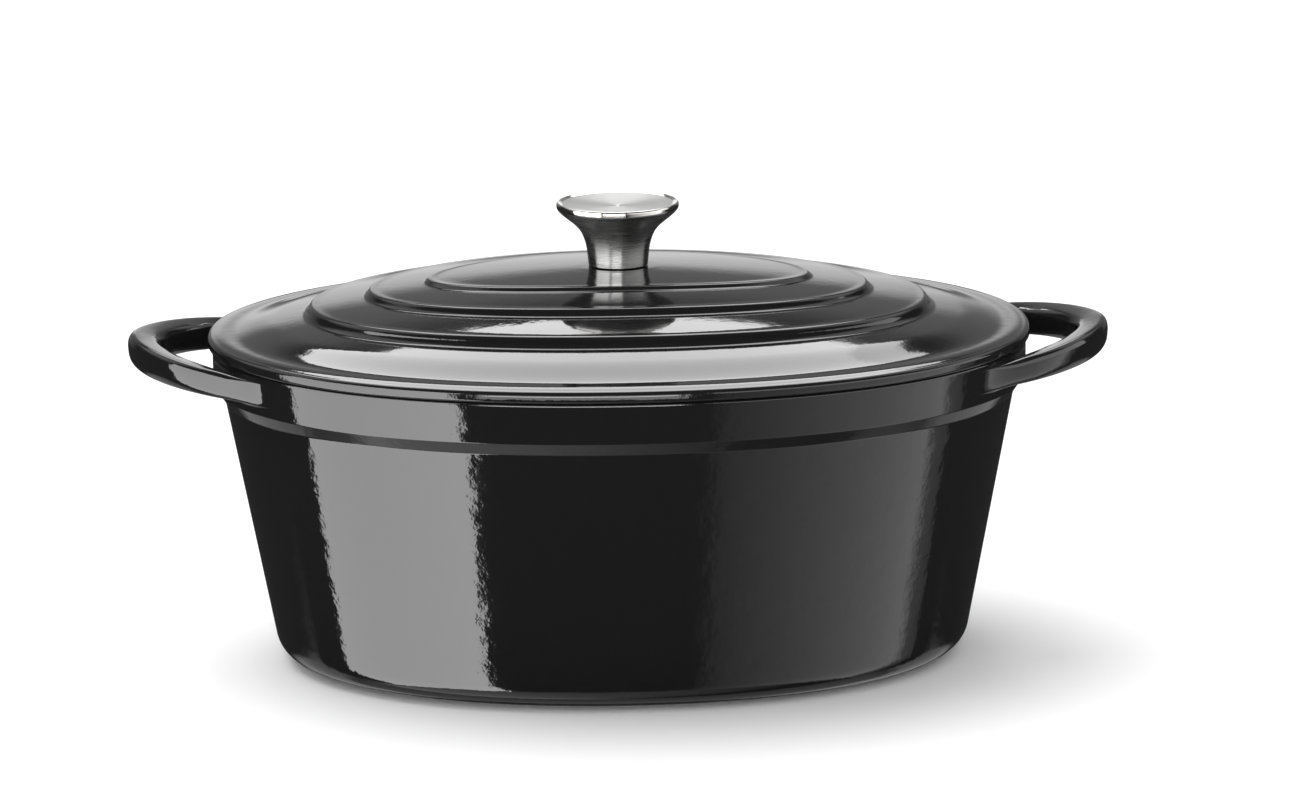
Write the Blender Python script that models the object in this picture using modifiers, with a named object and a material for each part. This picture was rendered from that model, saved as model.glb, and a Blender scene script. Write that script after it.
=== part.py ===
"""Oval cast iron dutch oven: a pot with two cast loop handles, and a lid that carries a steel knob.

Metres, +Z up. The origin is the centre of the base: the pot stands on z = 0, its long axis lies
along X and the knob's axis is Z. Every oval outline comes from one family of superellipses, and is
given by its inset from the outline of the lid.
"""

import math

import bmesh
import bpy

MM = 0.001

# ---------------------------------------------------------------- driving dimensions
LID_LENGTH = 330 * MM
LID_WIDTH = 250 * MM
OVAL_POWER = 2.1
POT_HEIGHT = 129.5 * MM
CLEARANCE = 0.3 * MM

# Pot casting
WALL = 4.2 * MM
FLOOR_THICKNESS = 5.0 * MM
BASE_FLARE = 0.186
BASE_RADIUS = 12 * MM
FOOT_HEIGHT = 1.2 * MM
FOOT_SETBACK = 11 * MM
BAND_HEIGHT = 16.2 * MM
BAND_INSET = 1.5 * MM
BAND_DRAFT = 1.5 * MM
STEP_HEIGHT = 5.0 * MM
STEP_DEPTH = 3.4 * MM
RIM_WIDTH = 6.0 * MM
RIM_RADIUS = 1.2 * MM
INNER_RADIUS = 16 * MM

# Loop handles, cast with the pot
HANDLE_REACH = 31.5 * MM
HANDLE_ROOT = 25 * MM
HANDLE_HALF_SPREAD = 58.5 * MM
HANDLE_POWER = 1.8
HANDLE_DEPTH = 9.3 * MM
HANDLE_CROWN = 0.9 * MM
HANDLE_DROP = 2.9 * MM
HANDLE_BAR = 12.2 * MM
HANDLE_ROUNDING = 3.8 * MM
HANDLE_RISE = 0.142
HANDLE_SWELL = 0.080
HANDLE_BLEND = 8 * MM
FINGER_HALF_ANGLE = math.radians(15.5)
FINGER_WALL_GAP = 0.8 * MM
FINGER_POINTS = 36
FINGER_POWER = 2.6

# Lid casting
LID_THICKNESS = 4.2 * MM
LID_EDGE_HEIGHT = 4.4 * MM
LID_EDGE_ROUNDING = 1.2 * MM
DOME_RISE = 17.9 * MM
DOME_POWER = 1.83
RIDGES = ((41.2 * MM, 3.4 * MM), (65.1 * MM, 2.2 * MM), (88.8 * MM, 1.2 * MM))
RIDGE_RUN = 2.0 * MM
RIB_WIDTH = 3.6 * MM
RIB_DEPTH = 5.5 * MM
RIB_CLEARANCE = 1.4 * MM
KNOB_PAD_RADIUS = 14.5 * MM
KNOB_PAD_DROP = 0.2 * MM
BOSS_THICKNESS = 6.8 * MM
WASHER_PAD_RADIUS = 10.5 * MM

# Knob and its fastening
KNOB_RADIUS = 24.5 * MM
KNOB_BASE_RADIUS = 12.2 * MM
KNOB_HEIGHT = 24.7 * MM
KNOB_TAPER = 1.9 * MM
FLARE_POWER = 2.9
KNOB_SHEET = 1.7 * MM
LIP_HEIGHT = 3.4 * MM
LIP_WIDTH = 2.4 * MM
DISH_DEPTH = 3.0 * MM
CAP_SHEET = 1.3 * MM
SCREW_RADIUS = 3.0 * MM
SCREW_ENGAGEMENT = 9.5 * MM
HEAD_RADIUS = 5.9 * MM
HEAD_HEIGHT = 3.8 * MM
WASHER_RADIUS = 8.0 * MM
WASHER_THICKNESS = 1.4 * MM
SPRING_RADIUS = 5.6 * MM
SPRING_THICKNESS = 1.5 * MM
SPRING_SPLIT = 1.3 * MM
RECESS_WIDTH = 1.1 * MM
RECESS_DEPTH = 2.2 * MM
GASKET_THICKNESS = 0.7 * MM
INSERT_RADIUS = 8.2 * MM
INSERT_HEIGHT = 13 * MM
INSERT_NECK_RADIUS = 5.3 * MM

# Mesh fineness
OVAL_POINTS = 64
END_CROWDING = 0.25
ROUND_STEPS = 28

# ---------------------------------------------------------------- worked out from them
HALF_LENGTH = LID_LENGTH / 2
HALF_WIDTH = LID_WIDTH / 2
BAND_BOTTOM = POT_HEIGHT - BAND_HEIGHT
WALL_TOP = BAND_BOTTOM - STEP_HEIGHT
WALL_TOP_INSET = BAND_INSET + BAND_DRAFT + STEP_DEPTH
BASE_INSET = WALL_TOP_INSET + BASE_FLARE * (WALL_TOP - FOOT_HEIGHT)
RIM_INNER_INSET = BAND_INSET + RIM_WIDTH
HANDLE_TOP = POT_HEIGHT - HANDLE_DROP
HANDLE_BOTTOM = HANDLE_TOP - HANDLE_DEPTH
HANDLE_CENTRE = HALF_LENGTH - HANDLE_ROOT
LID_BOTTOM = POT_HEIGHT + CLEARANCE
LID_EDGE_TOP = LID_BOTTOM + LID_EDGE_HEIGHT
EDGE_INSET = LID_EDGE_ROUNDING
RIDGE_RISE = sum(height for inset, height in RIDGES)
KNOB_SEAT = LID_EDGE_TOP + DOME_RISE + RIDGE_RISE - KNOB_PAD_DROP
GASKET_BOTTOM = KNOB_SEAT + CLEARANCE
KNOB_BOTTOM = GASKET_BOTTOM + GASKET_THICKNESS + CLEARANCE
WASHER_SEAT = KNOB_SEAT - BOSS_THICKNESS
HOLE_RADIUS = SCREW_RADIUS + 0.5 * MM


# ---------------------------------------------------------------- scene, materials and objects
def clear_scene():
    for obj in list(bpy.data.objects):
        bpy.data.objects.remove(obj)


def new_collection(name):
    collection = bpy.data.collections.new(name)
    bpy.context.scene.collection.children.link(collection)
    return collection


def principled(name, colour, roughness, metallic=0.0):
    material = bpy.data.materials.new(name)
    material.use_nodes = True
    shader = material.node_tree.nodes["Principled BSDF"]
    shader.inputs["Base Color"].default_value = (*colour, 1.0)
    shader.inputs["Roughness"].default_value = roughness
    shader.inputs["Metallic"].default_value = metallic
    return material


def add_object(name, mesh, collection, material=None):
    obj = bpy.data.objects.new(name, mesh)
    collection.objects.link(obj)
    if material:
        mesh.materials.append(material)
    return obj


def mesh_from(bm, name):
    mesh = bpy.data.meshes.new(name)
    bm.to_mesh(mesh)
    bm.free()
    mesh.shade_smooth()
    mesh.set_sharp_from_angle(angle=math.radians(35))
    return mesh


def cut(obj, cutter):
    boolean = obj.modifiers.new("cut by " + cutter.name, "BOOLEAN")
    boolean.operation = "DIFFERENCE"
    boolean.object = cutter


def hide_cutter(obj):
    obj.hide_render = True
    obj.display_type = "WIRE"


def block_cutter(name, size, centre, turn, collection):
    """A block of this size that cuts, at a centre and turned by X, Y and Z angles in degrees."""
    bpy.ops.mesh.primitive_cube_add(size=1)
    block = bpy.context.object
    block.name = name
    for other in block.users_collection:
        other.objects.unlink(block)
    collection.objects.link(block)
    block.dimensions = size
    block.location = centre
    block.rotation_euler = [math.radians(angle) for angle in turn]
    hide_cutter(block)
    return block


def turned(name, profile, collection, material=None):
    """A turned piece: the profile's (radius, height) points spun about Z. It runs down the outside."""
    bm = bmesh.new()
    vertices = [bm.verts.new((radius, 0, height)) for radius, height in profile]
    for first, second in zip(vertices, vertices[1:]):
        bm.edges.new((first, second))
    if profile[0][0] > 0:
        bm.edges.new((vertices[-1], vertices[0]))
    obj = add_object(name, mesh_from(bm, name), collection, material)
    screw = obj.modifiers.new("turn", "SCREW")
    screw.steps = screw.render_steps = ROUND_STEPS
    screw.use_merge_vertices = True
    screw.merge_threshold = 0.01 * MM
    screw.use_smooth_shade = True
    return obj


def loft(name, rings, collection, material=None):
    """A closed skin over rings of equal point counts, with a flat cap on the first and the last."""
    bm = bmesh.new()
    loops = [[bm.verts.new(point) for point in ring] for ring in rings]
    for lower, upper in zip(loops, loops[1:]):
        for k in range(len(lower)):
            after = (k + 1) % len(lower)
            bm.faces.new((lower[k], lower[after], upper[after], upper[k]))
    bm.faces.new(reversed(loops[0]))
    bm.faces.new(loops[-1])
    return add_object(name, mesh_from(bm, name), collection, material)


# ---------------------------------------------------------------- outlines and profiles
def signed_power(value, power):
    return math.copysign(abs(value) ** power, value)


def oval_angles():
    """Curve parameters around an oval, closer together at its two ends, where it turns most."""
    angles = []
    for k in range(OVAL_POINTS):
        turn = math.tau * k / OVAL_POINTS
        angles.append(turn - END_CROWDING * math.sin(2 * turn))
    return angles


def oval_point(angle, inset):
    x = (HALF_LENGTH - inset) * signed_power(math.cos(angle), 2 / OVAL_POWER)
    y = (HALF_WIDTH - inset) * signed_power(math.sin(angle), 2 / OVAL_POWER)
    return x, y


def oval_ring(inset, height):
    return [(*oval_point(angle, inset), height) for angle in oval_angles()]


def oval_level(x, y, inset):
    """1 on the oval of this inset, less inside it and more outside it."""
    across = abs(x / (HALF_LENGTH - inset)) ** OVAL_POWER
    along = abs(y / (HALF_WIDTH - inset)) ** OVAL_POWER
    return (across + along) ** (1 / OVAL_POWER)


def rounded_profile(corners, steps=3):
    """A profile through (across, height, radius) corners, each corner of some radius made an arc."""
    points = [corners[0][:2]]
    for before, corner, after in zip(corners, corners[1:], corners[2:]):
        x, z, radius = corner
        if not radius:
            points.append((x, z))
            continue
        ax, az = before[0] - x, before[1] - z
        bx, bz = after[0] - x, after[1] - z
        a_length, b_length = math.hypot(ax, az), math.hypot(bx, bz)
        ax, az, bx, bz = ax / a_length, az / a_length, bx / b_length, bz / b_length
        half = math.acos(max(-1.0, min(1.0, ax * bx + az * bz))) / 2
        reach = radius / math.tan(half)
        mx, mz = ax + bx, az + bz
        m_length = math.hypot(mx, mz)
        cx = x + mx / m_length * radius / math.sin(half)
        cz = z + mz / m_length * radius / math.sin(half)
        start = math.atan2(z + az * reach - cz, x + ax * reach - cx)
        end = math.atan2(z + bz * reach - cz, x + bx * reach - cx)
        turn = (end - start + math.pi) % math.tau - math.pi
        for k in range(steps + 1):
            angle = start + turn * k / steps
            points.append((cx + radius * math.cos(angle), cz + radius * math.sin(angle)))
    points.append(corners[-1][:2])
    return points


# ---------------------------------------------------------------- pot
def handle_level(x, y):
    """1 on the outline of a loop handle, less inside it and more outside it."""
    along = abs((abs(x) - HANDLE_CENTRE) / (HALF_LENGTH + HANDLE_REACH - HANDLE_CENTRE))
    across = abs(y / HANDLE_HALF_SPREAD)
    return (along**HANDLE_POWER + across**HANDLE_POWER) ** (1 / HANDLE_POWER)


def outside_pot(x, y, inset):
    """Roughly the distance outside the band and its handles, with a soft union where they meet."""
    from_oval = (oval_level(x, y, inset) - 1) * HALF_WIDTH
    from_handle = (handle_level(x, y) - 1) * HANDLE_HALF_SPREAD
    overlap = max(HANDLE_BLEND - abs(from_oval - from_handle), 0) / HANDLE_BLEND
    return min(from_oval, from_handle) - overlap**2 * HANDLE_BLEND / 4


def handle_extension(direction, inset):
    """How far the pot's outline passes its oval along a ray from the centre in this direction."""
    cosine, sine = math.cos(direction), math.sin(direction)
    oval_radius = 1 / oval_level(cosine, sine, inset)
    low, high = oval_radius, oval_radius
    while outside_pot(high * cosine, high * sine, inset) < 0:
        low = high
        high += 2 * MM
    while high - low > 0.001 * MM:
        middle = (low + high) / 2
        if outside_pot(middle * cosine, middle * sine, inset) < 0:
            low = middle
        else:
            high = middle
    return (low + high) / 2 - oval_radius


def band_inset(height):
    return BAND_INSET + BAND_DRAFT * (POT_HEIGHT - height) / BAND_HEIGHT


def handle_section(extension):
    """The (distance past the band, height) points from under a handle to the top of its root."""
    edge = min(HANDLE_ROUNDING, 0.45 * extension)
    root = min(3 * MM, 0.3 * extension)
    lower, upper = HANDLE_BOTTOM, HANDLE_TOP
    crown = HANDLE_CROWN * min(1, extension / HANDLE_BAR)
    return [
        (0, lower - 1.4 * MM),
        (0.25 * root, lower - 0.5 * MM),
        (root, lower),
        (extension - edge, lower + 0.2 * MM),
        (extension - 0.3 * edge, lower + 0.3 * HANDLE_ROUNDING),
        (extension, lower + HANDLE_ROUNDING),
        (extension, upper - HANDLE_ROUNDING),
        (extension - 0.3 * edge, upper - 0.3 * HANDLE_ROUNDING + 0.6 * crown),
        (extension - edge, upper + crown),
        (0.4 * root, upper),
    ]


def handle_rise(past, height):
    """How much a handle has risen at this distance past the band: its top rises more than its base."""
    share = max(0.0, (height - HANDLE_BOTTOM) / HANDLE_DEPTH)
    return past * (HANDLE_RISE + HANDLE_SWELL * share)


def handle_rings():
    """The rings of the band's height, drawn out along X into the two loop handles."""
    columns = []
    for angle in oval_angles():
        x, y = oval_point(angle, band_inset(HANDLE_BOTTOM))
        direction = math.atan2(y, x)
        extension = handle_extension(direction, band_inset(HANDLE_BOTTOM))
        column = []
        for past, height in handle_section(extension):
            bx, by = oval_point(angle, band_inset(height))
            x = bx + past * math.cos(direction)
            y = by + past * math.sin(direction)
            column.append((x, y, height + handle_rise(past, height)))
        columns.append(column)
    return [list(ring) for ring in zip(*columns)]


def finger_opening(name, side, collection):
    """The cutter of one finger opening: a bean along the wall, flared at both faces of the handle."""
    rounding = 0.9 * HANDLE_ROUNDING
    flared = [(-3 * MM, 2.6 * rounding)]
    for share in (0.0, 0.3, 1.0):
        flared.append((share * rounding, rounding * (1 - math.sqrt(1 - (1 - share) ** 2))))
    levels = [(HANDLE_BOTTOM + depth, flare) for depth, flare in flared]
    levels += [(HANDLE_TOP + HANDLE_CROWN - depth, flare) for depth, flare in reversed(flared)]
    outer_side = HALF_LENGTH + HANDLE_REACH - HANDLE_BAR
    inset = band_inset(HANDLE_BOTTOM)
    rings = []
    for height, flare in levels:
        ring = []
        for k in range(FINGER_POINTS):
            turn = -math.tau * k / FINGER_POINTS
            along = signed_power(math.cos(turn), 2 / FINGER_POWER)
            across = signed_power(math.sin(turn), 2 / FINGER_POWER)
            direction = (FINGER_HALF_ANGLE + flare / outer_side) * along
            band = 1 / oval_level(math.cos(direction), math.sin(direction), inset)
            wall = band + FINGER_WALL_GAP
            outer = band + handle_extension(direction, inset) - HANDLE_BAR
            half = max(outer - wall, 5 * MM) / 2
            radius = wall + half + across * (half + (flare if across > 0 else 0))
            x, y = radius * math.cos(direction), radius * math.sin(direction)
            ring.append((side * x, side * y, height + handle_rise(radius - band, height)))
        rings.append(ring)
    cutter = loft(name, rings, collection)
    hide_cutter(cutter)
    return cutter


def build_pot(parts, cutters, enamel):
    below_handles = rounded_profile(
        [
            (BASE_INSET + FOOT_SETBACK + 0.4 * MM, 0, 0),
            (BASE_INSET + FOOT_SETBACK, FOOT_HEIGHT, 0),
            (BASE_INSET, FOOT_HEIGHT, BASE_RADIUS),
            (WALL_TOP_INSET, WALL_TOP, 2 * MM),
            (BAND_INSET + BAND_DRAFT, BAND_BOTTOM, 1.2 * MM),
            (band_inset(BAND_BOTTOM + 1 * MM), BAND_BOTTOM + 1 * MM, 0),
        ]
    )
    rim_and_inside = rounded_profile(
        [
            (band_inset(POT_HEIGHT - RIM_RADIUS), POT_HEIGHT - RIM_RADIUS, 0),
            (BAND_INSET + 0.3 * RIM_RADIUS, POT_HEIGHT - 0.3 * RIM_RADIUS, 0),
            (BAND_INSET + RIM_RADIUS, POT_HEIGHT, 0),
            (RIM_INNER_INSET, POT_HEIGHT, 0.8 * MM),
            (RIM_INNER_INSET + 0.6 * MM, BAND_BOTTOM, 6 * MM),
            (WALL_TOP_INSET + WALL, WALL_TOP - 3 * MM, 6 * MM),
            (BASE_INSET + WALL, FLOOR_THICKNESS, INNER_RADIUS),
            (BASE_INSET + WALL + 1.5 * INNER_RADIUS, FLOOR_THICKNESS, 0),
        ]
    )
    rings = [oval_ring(inset, height) for inset, height in below_handles]
    rings += handle_rings()
    rings += [oval_ring(inset, height) for inset, height in rim_and_inside]
    pot = loft("pot_body", rings, parts, enamel)
    cut(pot, finger_opening("finger_opening_right", 1, cutters))
    cut(pot, finger_opening("finger_opening_left", -1, cutters))
    return pot


# ---------------------------------------------------------------- lid
def dome_height(x, y, inset):
    """The lid's smooth dome: its full rise at the centre, none on the oval of this inset."""
    return DOME_RISE * (1 - oval_level(x, y, inset) ** DOME_POWER)


def lid_ring(inset, steps, drop=0.0):
    """A ring of the lid on its dome, raised by the steps that it has climbed, less a drop."""
    ring = []
    for angle in oval_angles():
        x, y = oval_point(angle, inset)
        height = LID_EDGE_TOP + dome_height(x, y, EDGE_INSET) + steps - drop
        ring.append((x, y, height))
    return ring


def crown_ring(share, pad_radius, pad_height, inset, steps, drop=0.0):
    """A ring between the round pad at the centre (share 0) and the innermost oval (share 1)."""
    ring = []
    for angle in oval_angles():
        ox, oy = oval_point(angle, inset)
        px, py = pad_radius * math.cos(angle), pad_radius * math.sin(angle)
        x, y = px + (ox - px) * share, py + (oy - py) * share
        height = LID_EDGE_TOP + dome_height(x, y, EDGE_INSET) + steps - drop
        if share == 0:
            height = pad_height
        ring.append((x, y, height))
    return ring


def build_lid(parts, cutters, enamel):
    rib_outer = RIM_INNER_INSET + 0.6 * MM + RIB_CLEARANCE
    rib_bottom = LID_BOTTOM - RIB_DEPTH
    inner_edge = rib_outer + RIB_WIDTH
    innermost = RIDGES[-1][0] + 4 * MM
    underside = LID_EDGE_TOP - LID_THICKNESS

    # Underside, from the washer pad outward
    rings = [crown_ring(0, WASHER_PAD_RADIUS, WASHER_SEAT, innermost, 0)]
    for share in (0.25, 0.6):
        rings.append(crown_ring(share, WASHER_PAD_RADIUS, 0, innermost, RIDGE_RISE, LID_THICKNESS))
    climbed = RIDGE_RISE
    for inset, height in reversed(RIDGES):
        rings.append(lid_ring(inset + 2.4 * MM, climbed, LID_THICKNESS))
        climbed -= height
        rings.append(lid_ring(inset - 1.0 * MM, climbed, LID_THICKNESS))
    rings.append(lid_ring(inner_edge + 10 * MM, 0, LID_THICKNESS))
    for inset, height in (
        (inner_edge + 3 * MM, underside + 1.6 * MM),
        (inner_edge + 0.6 * MM, underside - 0.6 * MM),
        (inner_edge, rib_bottom + 0.8 * MM),
        (inner_edge - 0.8 * MM, rib_bottom),
        (rib_outer + 0.8 * MM, rib_bottom),
        (rib_outer, rib_bottom + 0.8 * MM),
        (rib_outer - 0.3 * MM, LID_BOTTOM),
        (0.8 * MM, LID_BOTTOM),
        (0.2 * MM, LID_BOTTOM + 0.3 * MM),
        (0, LID_BOTTOM + 0.9 * MM),
        (0, LID_EDGE_TOP - LID_EDGE_ROUNDING),
        (0.3 * LID_EDGE_ROUNDING, LID_EDGE_TOP - 0.3 * LID_EDGE_ROUNDING),
    ):
        rings.append(oval_ring(inset, height))

    # Outside, from the edge inward and up the three ridges
    rings.append(lid_ring(EDGE_INSET, 0))
    climbed, last = 0.0, EDGE_INSET
    for inset, height in RIDGES:
        for share in (0.35, 0.7):
            rings.append(lid_ring(last + (inset - RIDGE_RUN - last) * share, climbed))
        rings.append(lid_ring(inset - RIDGE_RUN, climbed))
        rings.append(lid_ring(inset - 0.45 * RIDGE_RUN, climbed + 0.3 * height))
        rings.append(lid_ring(inset - 0.12 * RIDGE_RUN, climbed + 0.85 * height))
        climbed += height
        rings.append(lid_ring(inset + 0.2 * RIDGE_RUN, climbed))
        last = inset + 0.2 * RIDGE_RUN
    for share in (0.7, 0.35, 0.08):
        rings.append(crown_ring(share, KNOB_PAD_RADIUS, 0, innermost, climbed))
    rings.append(crown_ring(0, KNOB_PAD_RADIUS, KNOB_SEAT, innermost, climbed))

    lid = loft("lid", rings, parts, enamel)
    above, below = KNOB_SEAT + 5 * MM, WASHER_SEAT - 5 * MM
    hole_profile = [(0, above), (HOLE_RADIUS, above), (HOLE_RADIUS, below), (0, below)]
    hole = turned("screw_hole", hole_profile, cutters)
    hide_cutter(hole)
    cut(lid, hole)
    return lid


# ---------------------------------------------------------------- knob
def raised(profile, height):
    return [(radius, z + height) for radius, z in profile]


def flare_radius(height):
    """The stem's outer radius at a height above its foot: near straight, then a tulip flare."""
    share = height / (KNOB_HEIGHT - LIP_HEIGHT)
    straight = KNOB_BASE_RADIUS + KNOB_TAPER * share
    flare = KNOB_RADIUS - 1.2 * MM - KNOB_BASE_RADIUS - KNOB_TAPER
    return straight + flare * share**FLARE_POWER


def build_stem(parts, steel):
    """The knob's shell: one spun sheet, from a turned-in foot up the flare to a rolled lip."""
    neck = KNOB_HEIGHT - LIP_HEIGHT
    ledge = KNOB_HEIGHT - DISH_DEPTH - CAP_SHEET
    seat_radius = KNOB_RADIUS - LIP_WIDTH
    ledge_radius = seat_radius - 2.2 * MM
    foot = 1.1 * MM
    foot_hole = INSERT_NECK_RADIUS + CLEARANCE
    shell = rounded_profile(
        [
            (seat_radius, KNOB_HEIGHT - 1.2 * MM, 0),
            (seat_radius + 0.3 * MM, KNOB_HEIGHT, 0.5 * MM),
            (KNOB_RADIUS, KNOB_HEIGHT, 1.5 * MM),
            (KNOB_RADIUS, neck + 0.3 * MM, 0.6 * MM),
            (flare_radius(neck), neck, 0),
        ]
    )
    for share in (0.9, 0.8, 0.68, 0.5, 0.3, 0.12):
        shell.append((flare_radius(neck * share), neck * share))
    shell += [(KNOB_BASE_RADIUS - 0.3 * foot, 0.3 * foot), (KNOB_BASE_RADIUS - foot, 0)]
    shell += [(foot_hole, 0), (foot_hole, KNOB_SHEET), (KNOB_BASE_RADIUS - KNOB_SHEET, KNOB_SHEET)]
    for share in (0.12, 0.3, 0.5, 0.68, 0.8):
        shell.append((flare_radius(neck * share) - KNOB_SHEET, neck * share))
    shell += [(ledge_radius, ledge - 2.2 * MM), (ledge_radius, ledge), (seat_radius, ledge)]
    turned("knob_stem", raised(shell, KNOB_BOTTOM), parts, steel)


def build_cap(parts, steel):
    """The dished disc that closes the knob, with a small pip where it was held for spinning."""
    radius = KNOB_RADIUS - LIP_WIDTH - CLEARANCE
    rim = KNOB_HEIGHT - 1.2 * MM
    dish_depth = DISH_DEPTH - 1.2 * MM - CLEARANCE
    underside = KNOB_HEIGHT - DISH_DEPTH - CAP_SHEET + CLEARANCE
    dish = [(radius * share, rim - dish_depth * (1 - share**2)) for share in (0.2, 0.4, 0.6, 0.8, 1.0)]
    bottom = dish[0][1]
    pip = [(0, bottom - 0.5 * MM), (0.9 * MM, bottom - 0.4 * MM), (1.6 * MM, bottom)]
    profile = pip + dish[1:] + [(radius, underside), (0, underside)]
    turned("knob_cap", raised(profile, KNOB_BOTTOM), parts, steel)


def build_fastening(parts, cutters, steel, rubber):
    """The gasket under the knob, its threaded insert, and the screw and washers inside the lid."""
    bore = SCREW_RADIUS + CLEARANCE
    gasket_radius = KNOB_BASE_RADIUS - 1.6 * MM
    gasket = [
        (gasket_radius, GASKET_THICKNESS),
        (gasket_radius, 0),
        (HOLE_RADIUS, 0),
        (HOLE_RADIUS, GASKET_THICKNESS),
    ]
    turned("knob_gasket", raised(gasket, GASKET_BOTTOM), parts, rubber)

    flange = KNOB_SHEET + CLEARANCE
    chamfer = 0.8 * MM
    insert = [
        (0, INSERT_HEIGHT),
        (INSERT_RADIUS - chamfer, INSERT_HEIGHT),
        (INSERT_RADIUS, INSERT_HEIGHT - chamfer),
        (INSERT_RADIUS, flange),
        (INSERT_NECK_RADIUS, flange),
        (INSERT_NECK_RADIUS, 0.2 * MM),
        (bore + 0.5 * MM, 0.2 * MM),
        (bore, 0.7 * MM),
        (bore, SCREW_ENGAGEMENT + 1 * MM),
        (0, SCREW_ENGAGEMENT + 1.8 * MM),
    ]
    turned("knob_insert", raised(insert, KNOB_BOTTOM), parts, steel)

    washer_top = WASHER_SEAT - CLEARANCE
    washer = [
        (WASHER_RADIUS - 0.3 * MM, 0),
        (WASHER_RADIUS, -0.3 * MM),
        (WASHER_RADIUS, -WASHER_THICKNESS),
        (bore, -WASHER_THICKNESS),
        (bore, 0),
    ]
    turned("flat_washer", raised(washer, washer_top), parts, steel)

    spring_top = washer_top - WASHER_THICKNESS - CLEARANCE
    spring = [
        (SPRING_RADIUS, 0),
        (SPRING_RADIUS, -SPRING_THICKNESS),
        (bore, -SPRING_THICKNESS),
        (bore, 0),
    ]
    spring_washer = turned("spring_washer", raised(spring, spring_top), parts, steel)
    split_size = (SPRING_SPLIT, 2 * SPRING_RADIUS, 3 * SPRING_THICKNESS)
    split_centre = (0, SPRING_RADIUS, spring_top - SPRING_THICKNESS / 2)
    cut(spring_washer, block_cutter("spring_split", split_size, split_centre, (0, 25, 0), cutters))

    head_top = spring_top - SPRING_THICKNESS - CLEARANCE
    head_bottom = head_top - HEAD_HEIGHT
    shank_top = KNOB_BOTTOM + SCREW_ENGAGEMENT
    screw = rounded_profile(
        [
            (0, shank_top, 0),
            (SCREW_RADIUS - 0.6 * MM, shank_top, 0),
            (SCREW_RADIUS, shank_top - 0.6 * MM, 0),
            (SCREW_RADIUS, head_top, 0),
            (HEAD_RADIUS, head_top, 0),
            (HEAD_RADIUS, head_bottom, 1.6 * MM),
            (0, head_bottom, 0),
        ]
    )
    head = turned("knob_screw", screw, parts, steel)
    recess_size = (1.15 * HEAD_RADIUS, RECESS_WIDTH, 2 * RECESS_DEPTH)
    for number, angle in ((1, 45), (2, 135)):
        slot = block_cutter(
            f"cross_recess_{number}", recess_size, (0, 0, head_bottom), (0, 0, angle), cutters
        )
        cut(head, slot)


def build():
    clear_scene()
    parts = new_collection("cast_iron_dutch_oven")
    cutters = new_collection("cutters")
    enamel = principled("black gloss enamel", (0.010, 0.010, 0.011), 0.12)
    lid_enamel = principled("black gloss enamel, lid", (0.010, 0.010, 0.011), 0.12)
    steel = principled("brushed stainless steel", (0.60, 0.59, 0.57), 0.30, 1.0)
    bright_steel = principled("spun stainless steel", (0.66, 0.65, 0.63), 0.22, 1.0)
    zinc = principled("zinc plated steel", (0.55, 0.56, 0.58), 0.35, 1.0)
    rubber = principled("black silicone", (0.02, 0.02, 0.02), 0.65)
    build_pot(parts, cutters, enamel)
    build_lid(parts, cutters, lid_enamel)
    build_stem(parts, steel)
    build_cap(parts, bright_steel)
    build_fastening(parts, cutters, zinc, rubber)


build()
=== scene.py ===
# %% [markdown]
# # An oval cast iron dutch oven in black enamel
# The real thing is two iron castings, a pot and a lid, dipped or sprayed with glass powder and fired
# until the glass runs smooth. A spun steel knob is screwed to the lid. The lesson builds each casting
# as rings of one family of ovals, so that ridges, walls and rim all follow the same outline.
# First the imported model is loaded: it fixes every size and place that follows.

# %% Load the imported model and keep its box
import math

import bmesh
import bpy
import numpy as np
from mathutils import Matrix, Vector


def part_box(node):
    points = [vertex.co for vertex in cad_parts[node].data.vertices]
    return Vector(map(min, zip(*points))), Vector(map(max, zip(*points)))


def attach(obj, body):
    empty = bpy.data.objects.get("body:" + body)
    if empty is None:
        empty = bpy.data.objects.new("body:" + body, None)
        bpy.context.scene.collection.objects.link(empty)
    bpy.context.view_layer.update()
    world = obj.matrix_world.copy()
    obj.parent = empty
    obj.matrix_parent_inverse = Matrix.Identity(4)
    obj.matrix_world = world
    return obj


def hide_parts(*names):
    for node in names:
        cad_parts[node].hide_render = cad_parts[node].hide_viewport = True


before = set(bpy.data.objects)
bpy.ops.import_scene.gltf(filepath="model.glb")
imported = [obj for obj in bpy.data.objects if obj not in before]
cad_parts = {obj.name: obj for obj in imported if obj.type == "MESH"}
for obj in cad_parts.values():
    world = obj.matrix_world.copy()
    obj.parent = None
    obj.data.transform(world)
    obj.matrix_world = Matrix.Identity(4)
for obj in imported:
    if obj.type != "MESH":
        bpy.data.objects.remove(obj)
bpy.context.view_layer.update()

MM = 0.001
print("packed nodes:", sorted(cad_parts))

# %% [markdown]
# ## Sizes
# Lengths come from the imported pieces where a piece's box gives them. The rest are the foundry's
# drawing: draft, radii and steps that no box can tell.

# %% Sizes of the pot, the lid and the knob
lid_low, lid_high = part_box("lid")
stem_low, stem_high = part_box("knob_stem")

CLEARANCE = 0.3 * MM
HALF_LENGTH = lid_high.x
HALF_WIDTH = lid_high.y
OVAL_POWER = 2.1
END_CROWDING = 0.25
DOME_RISE = 17.9 * MM
DOME_POWER = 1.83
EDGE_INSET = 1.2 * MM

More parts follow.
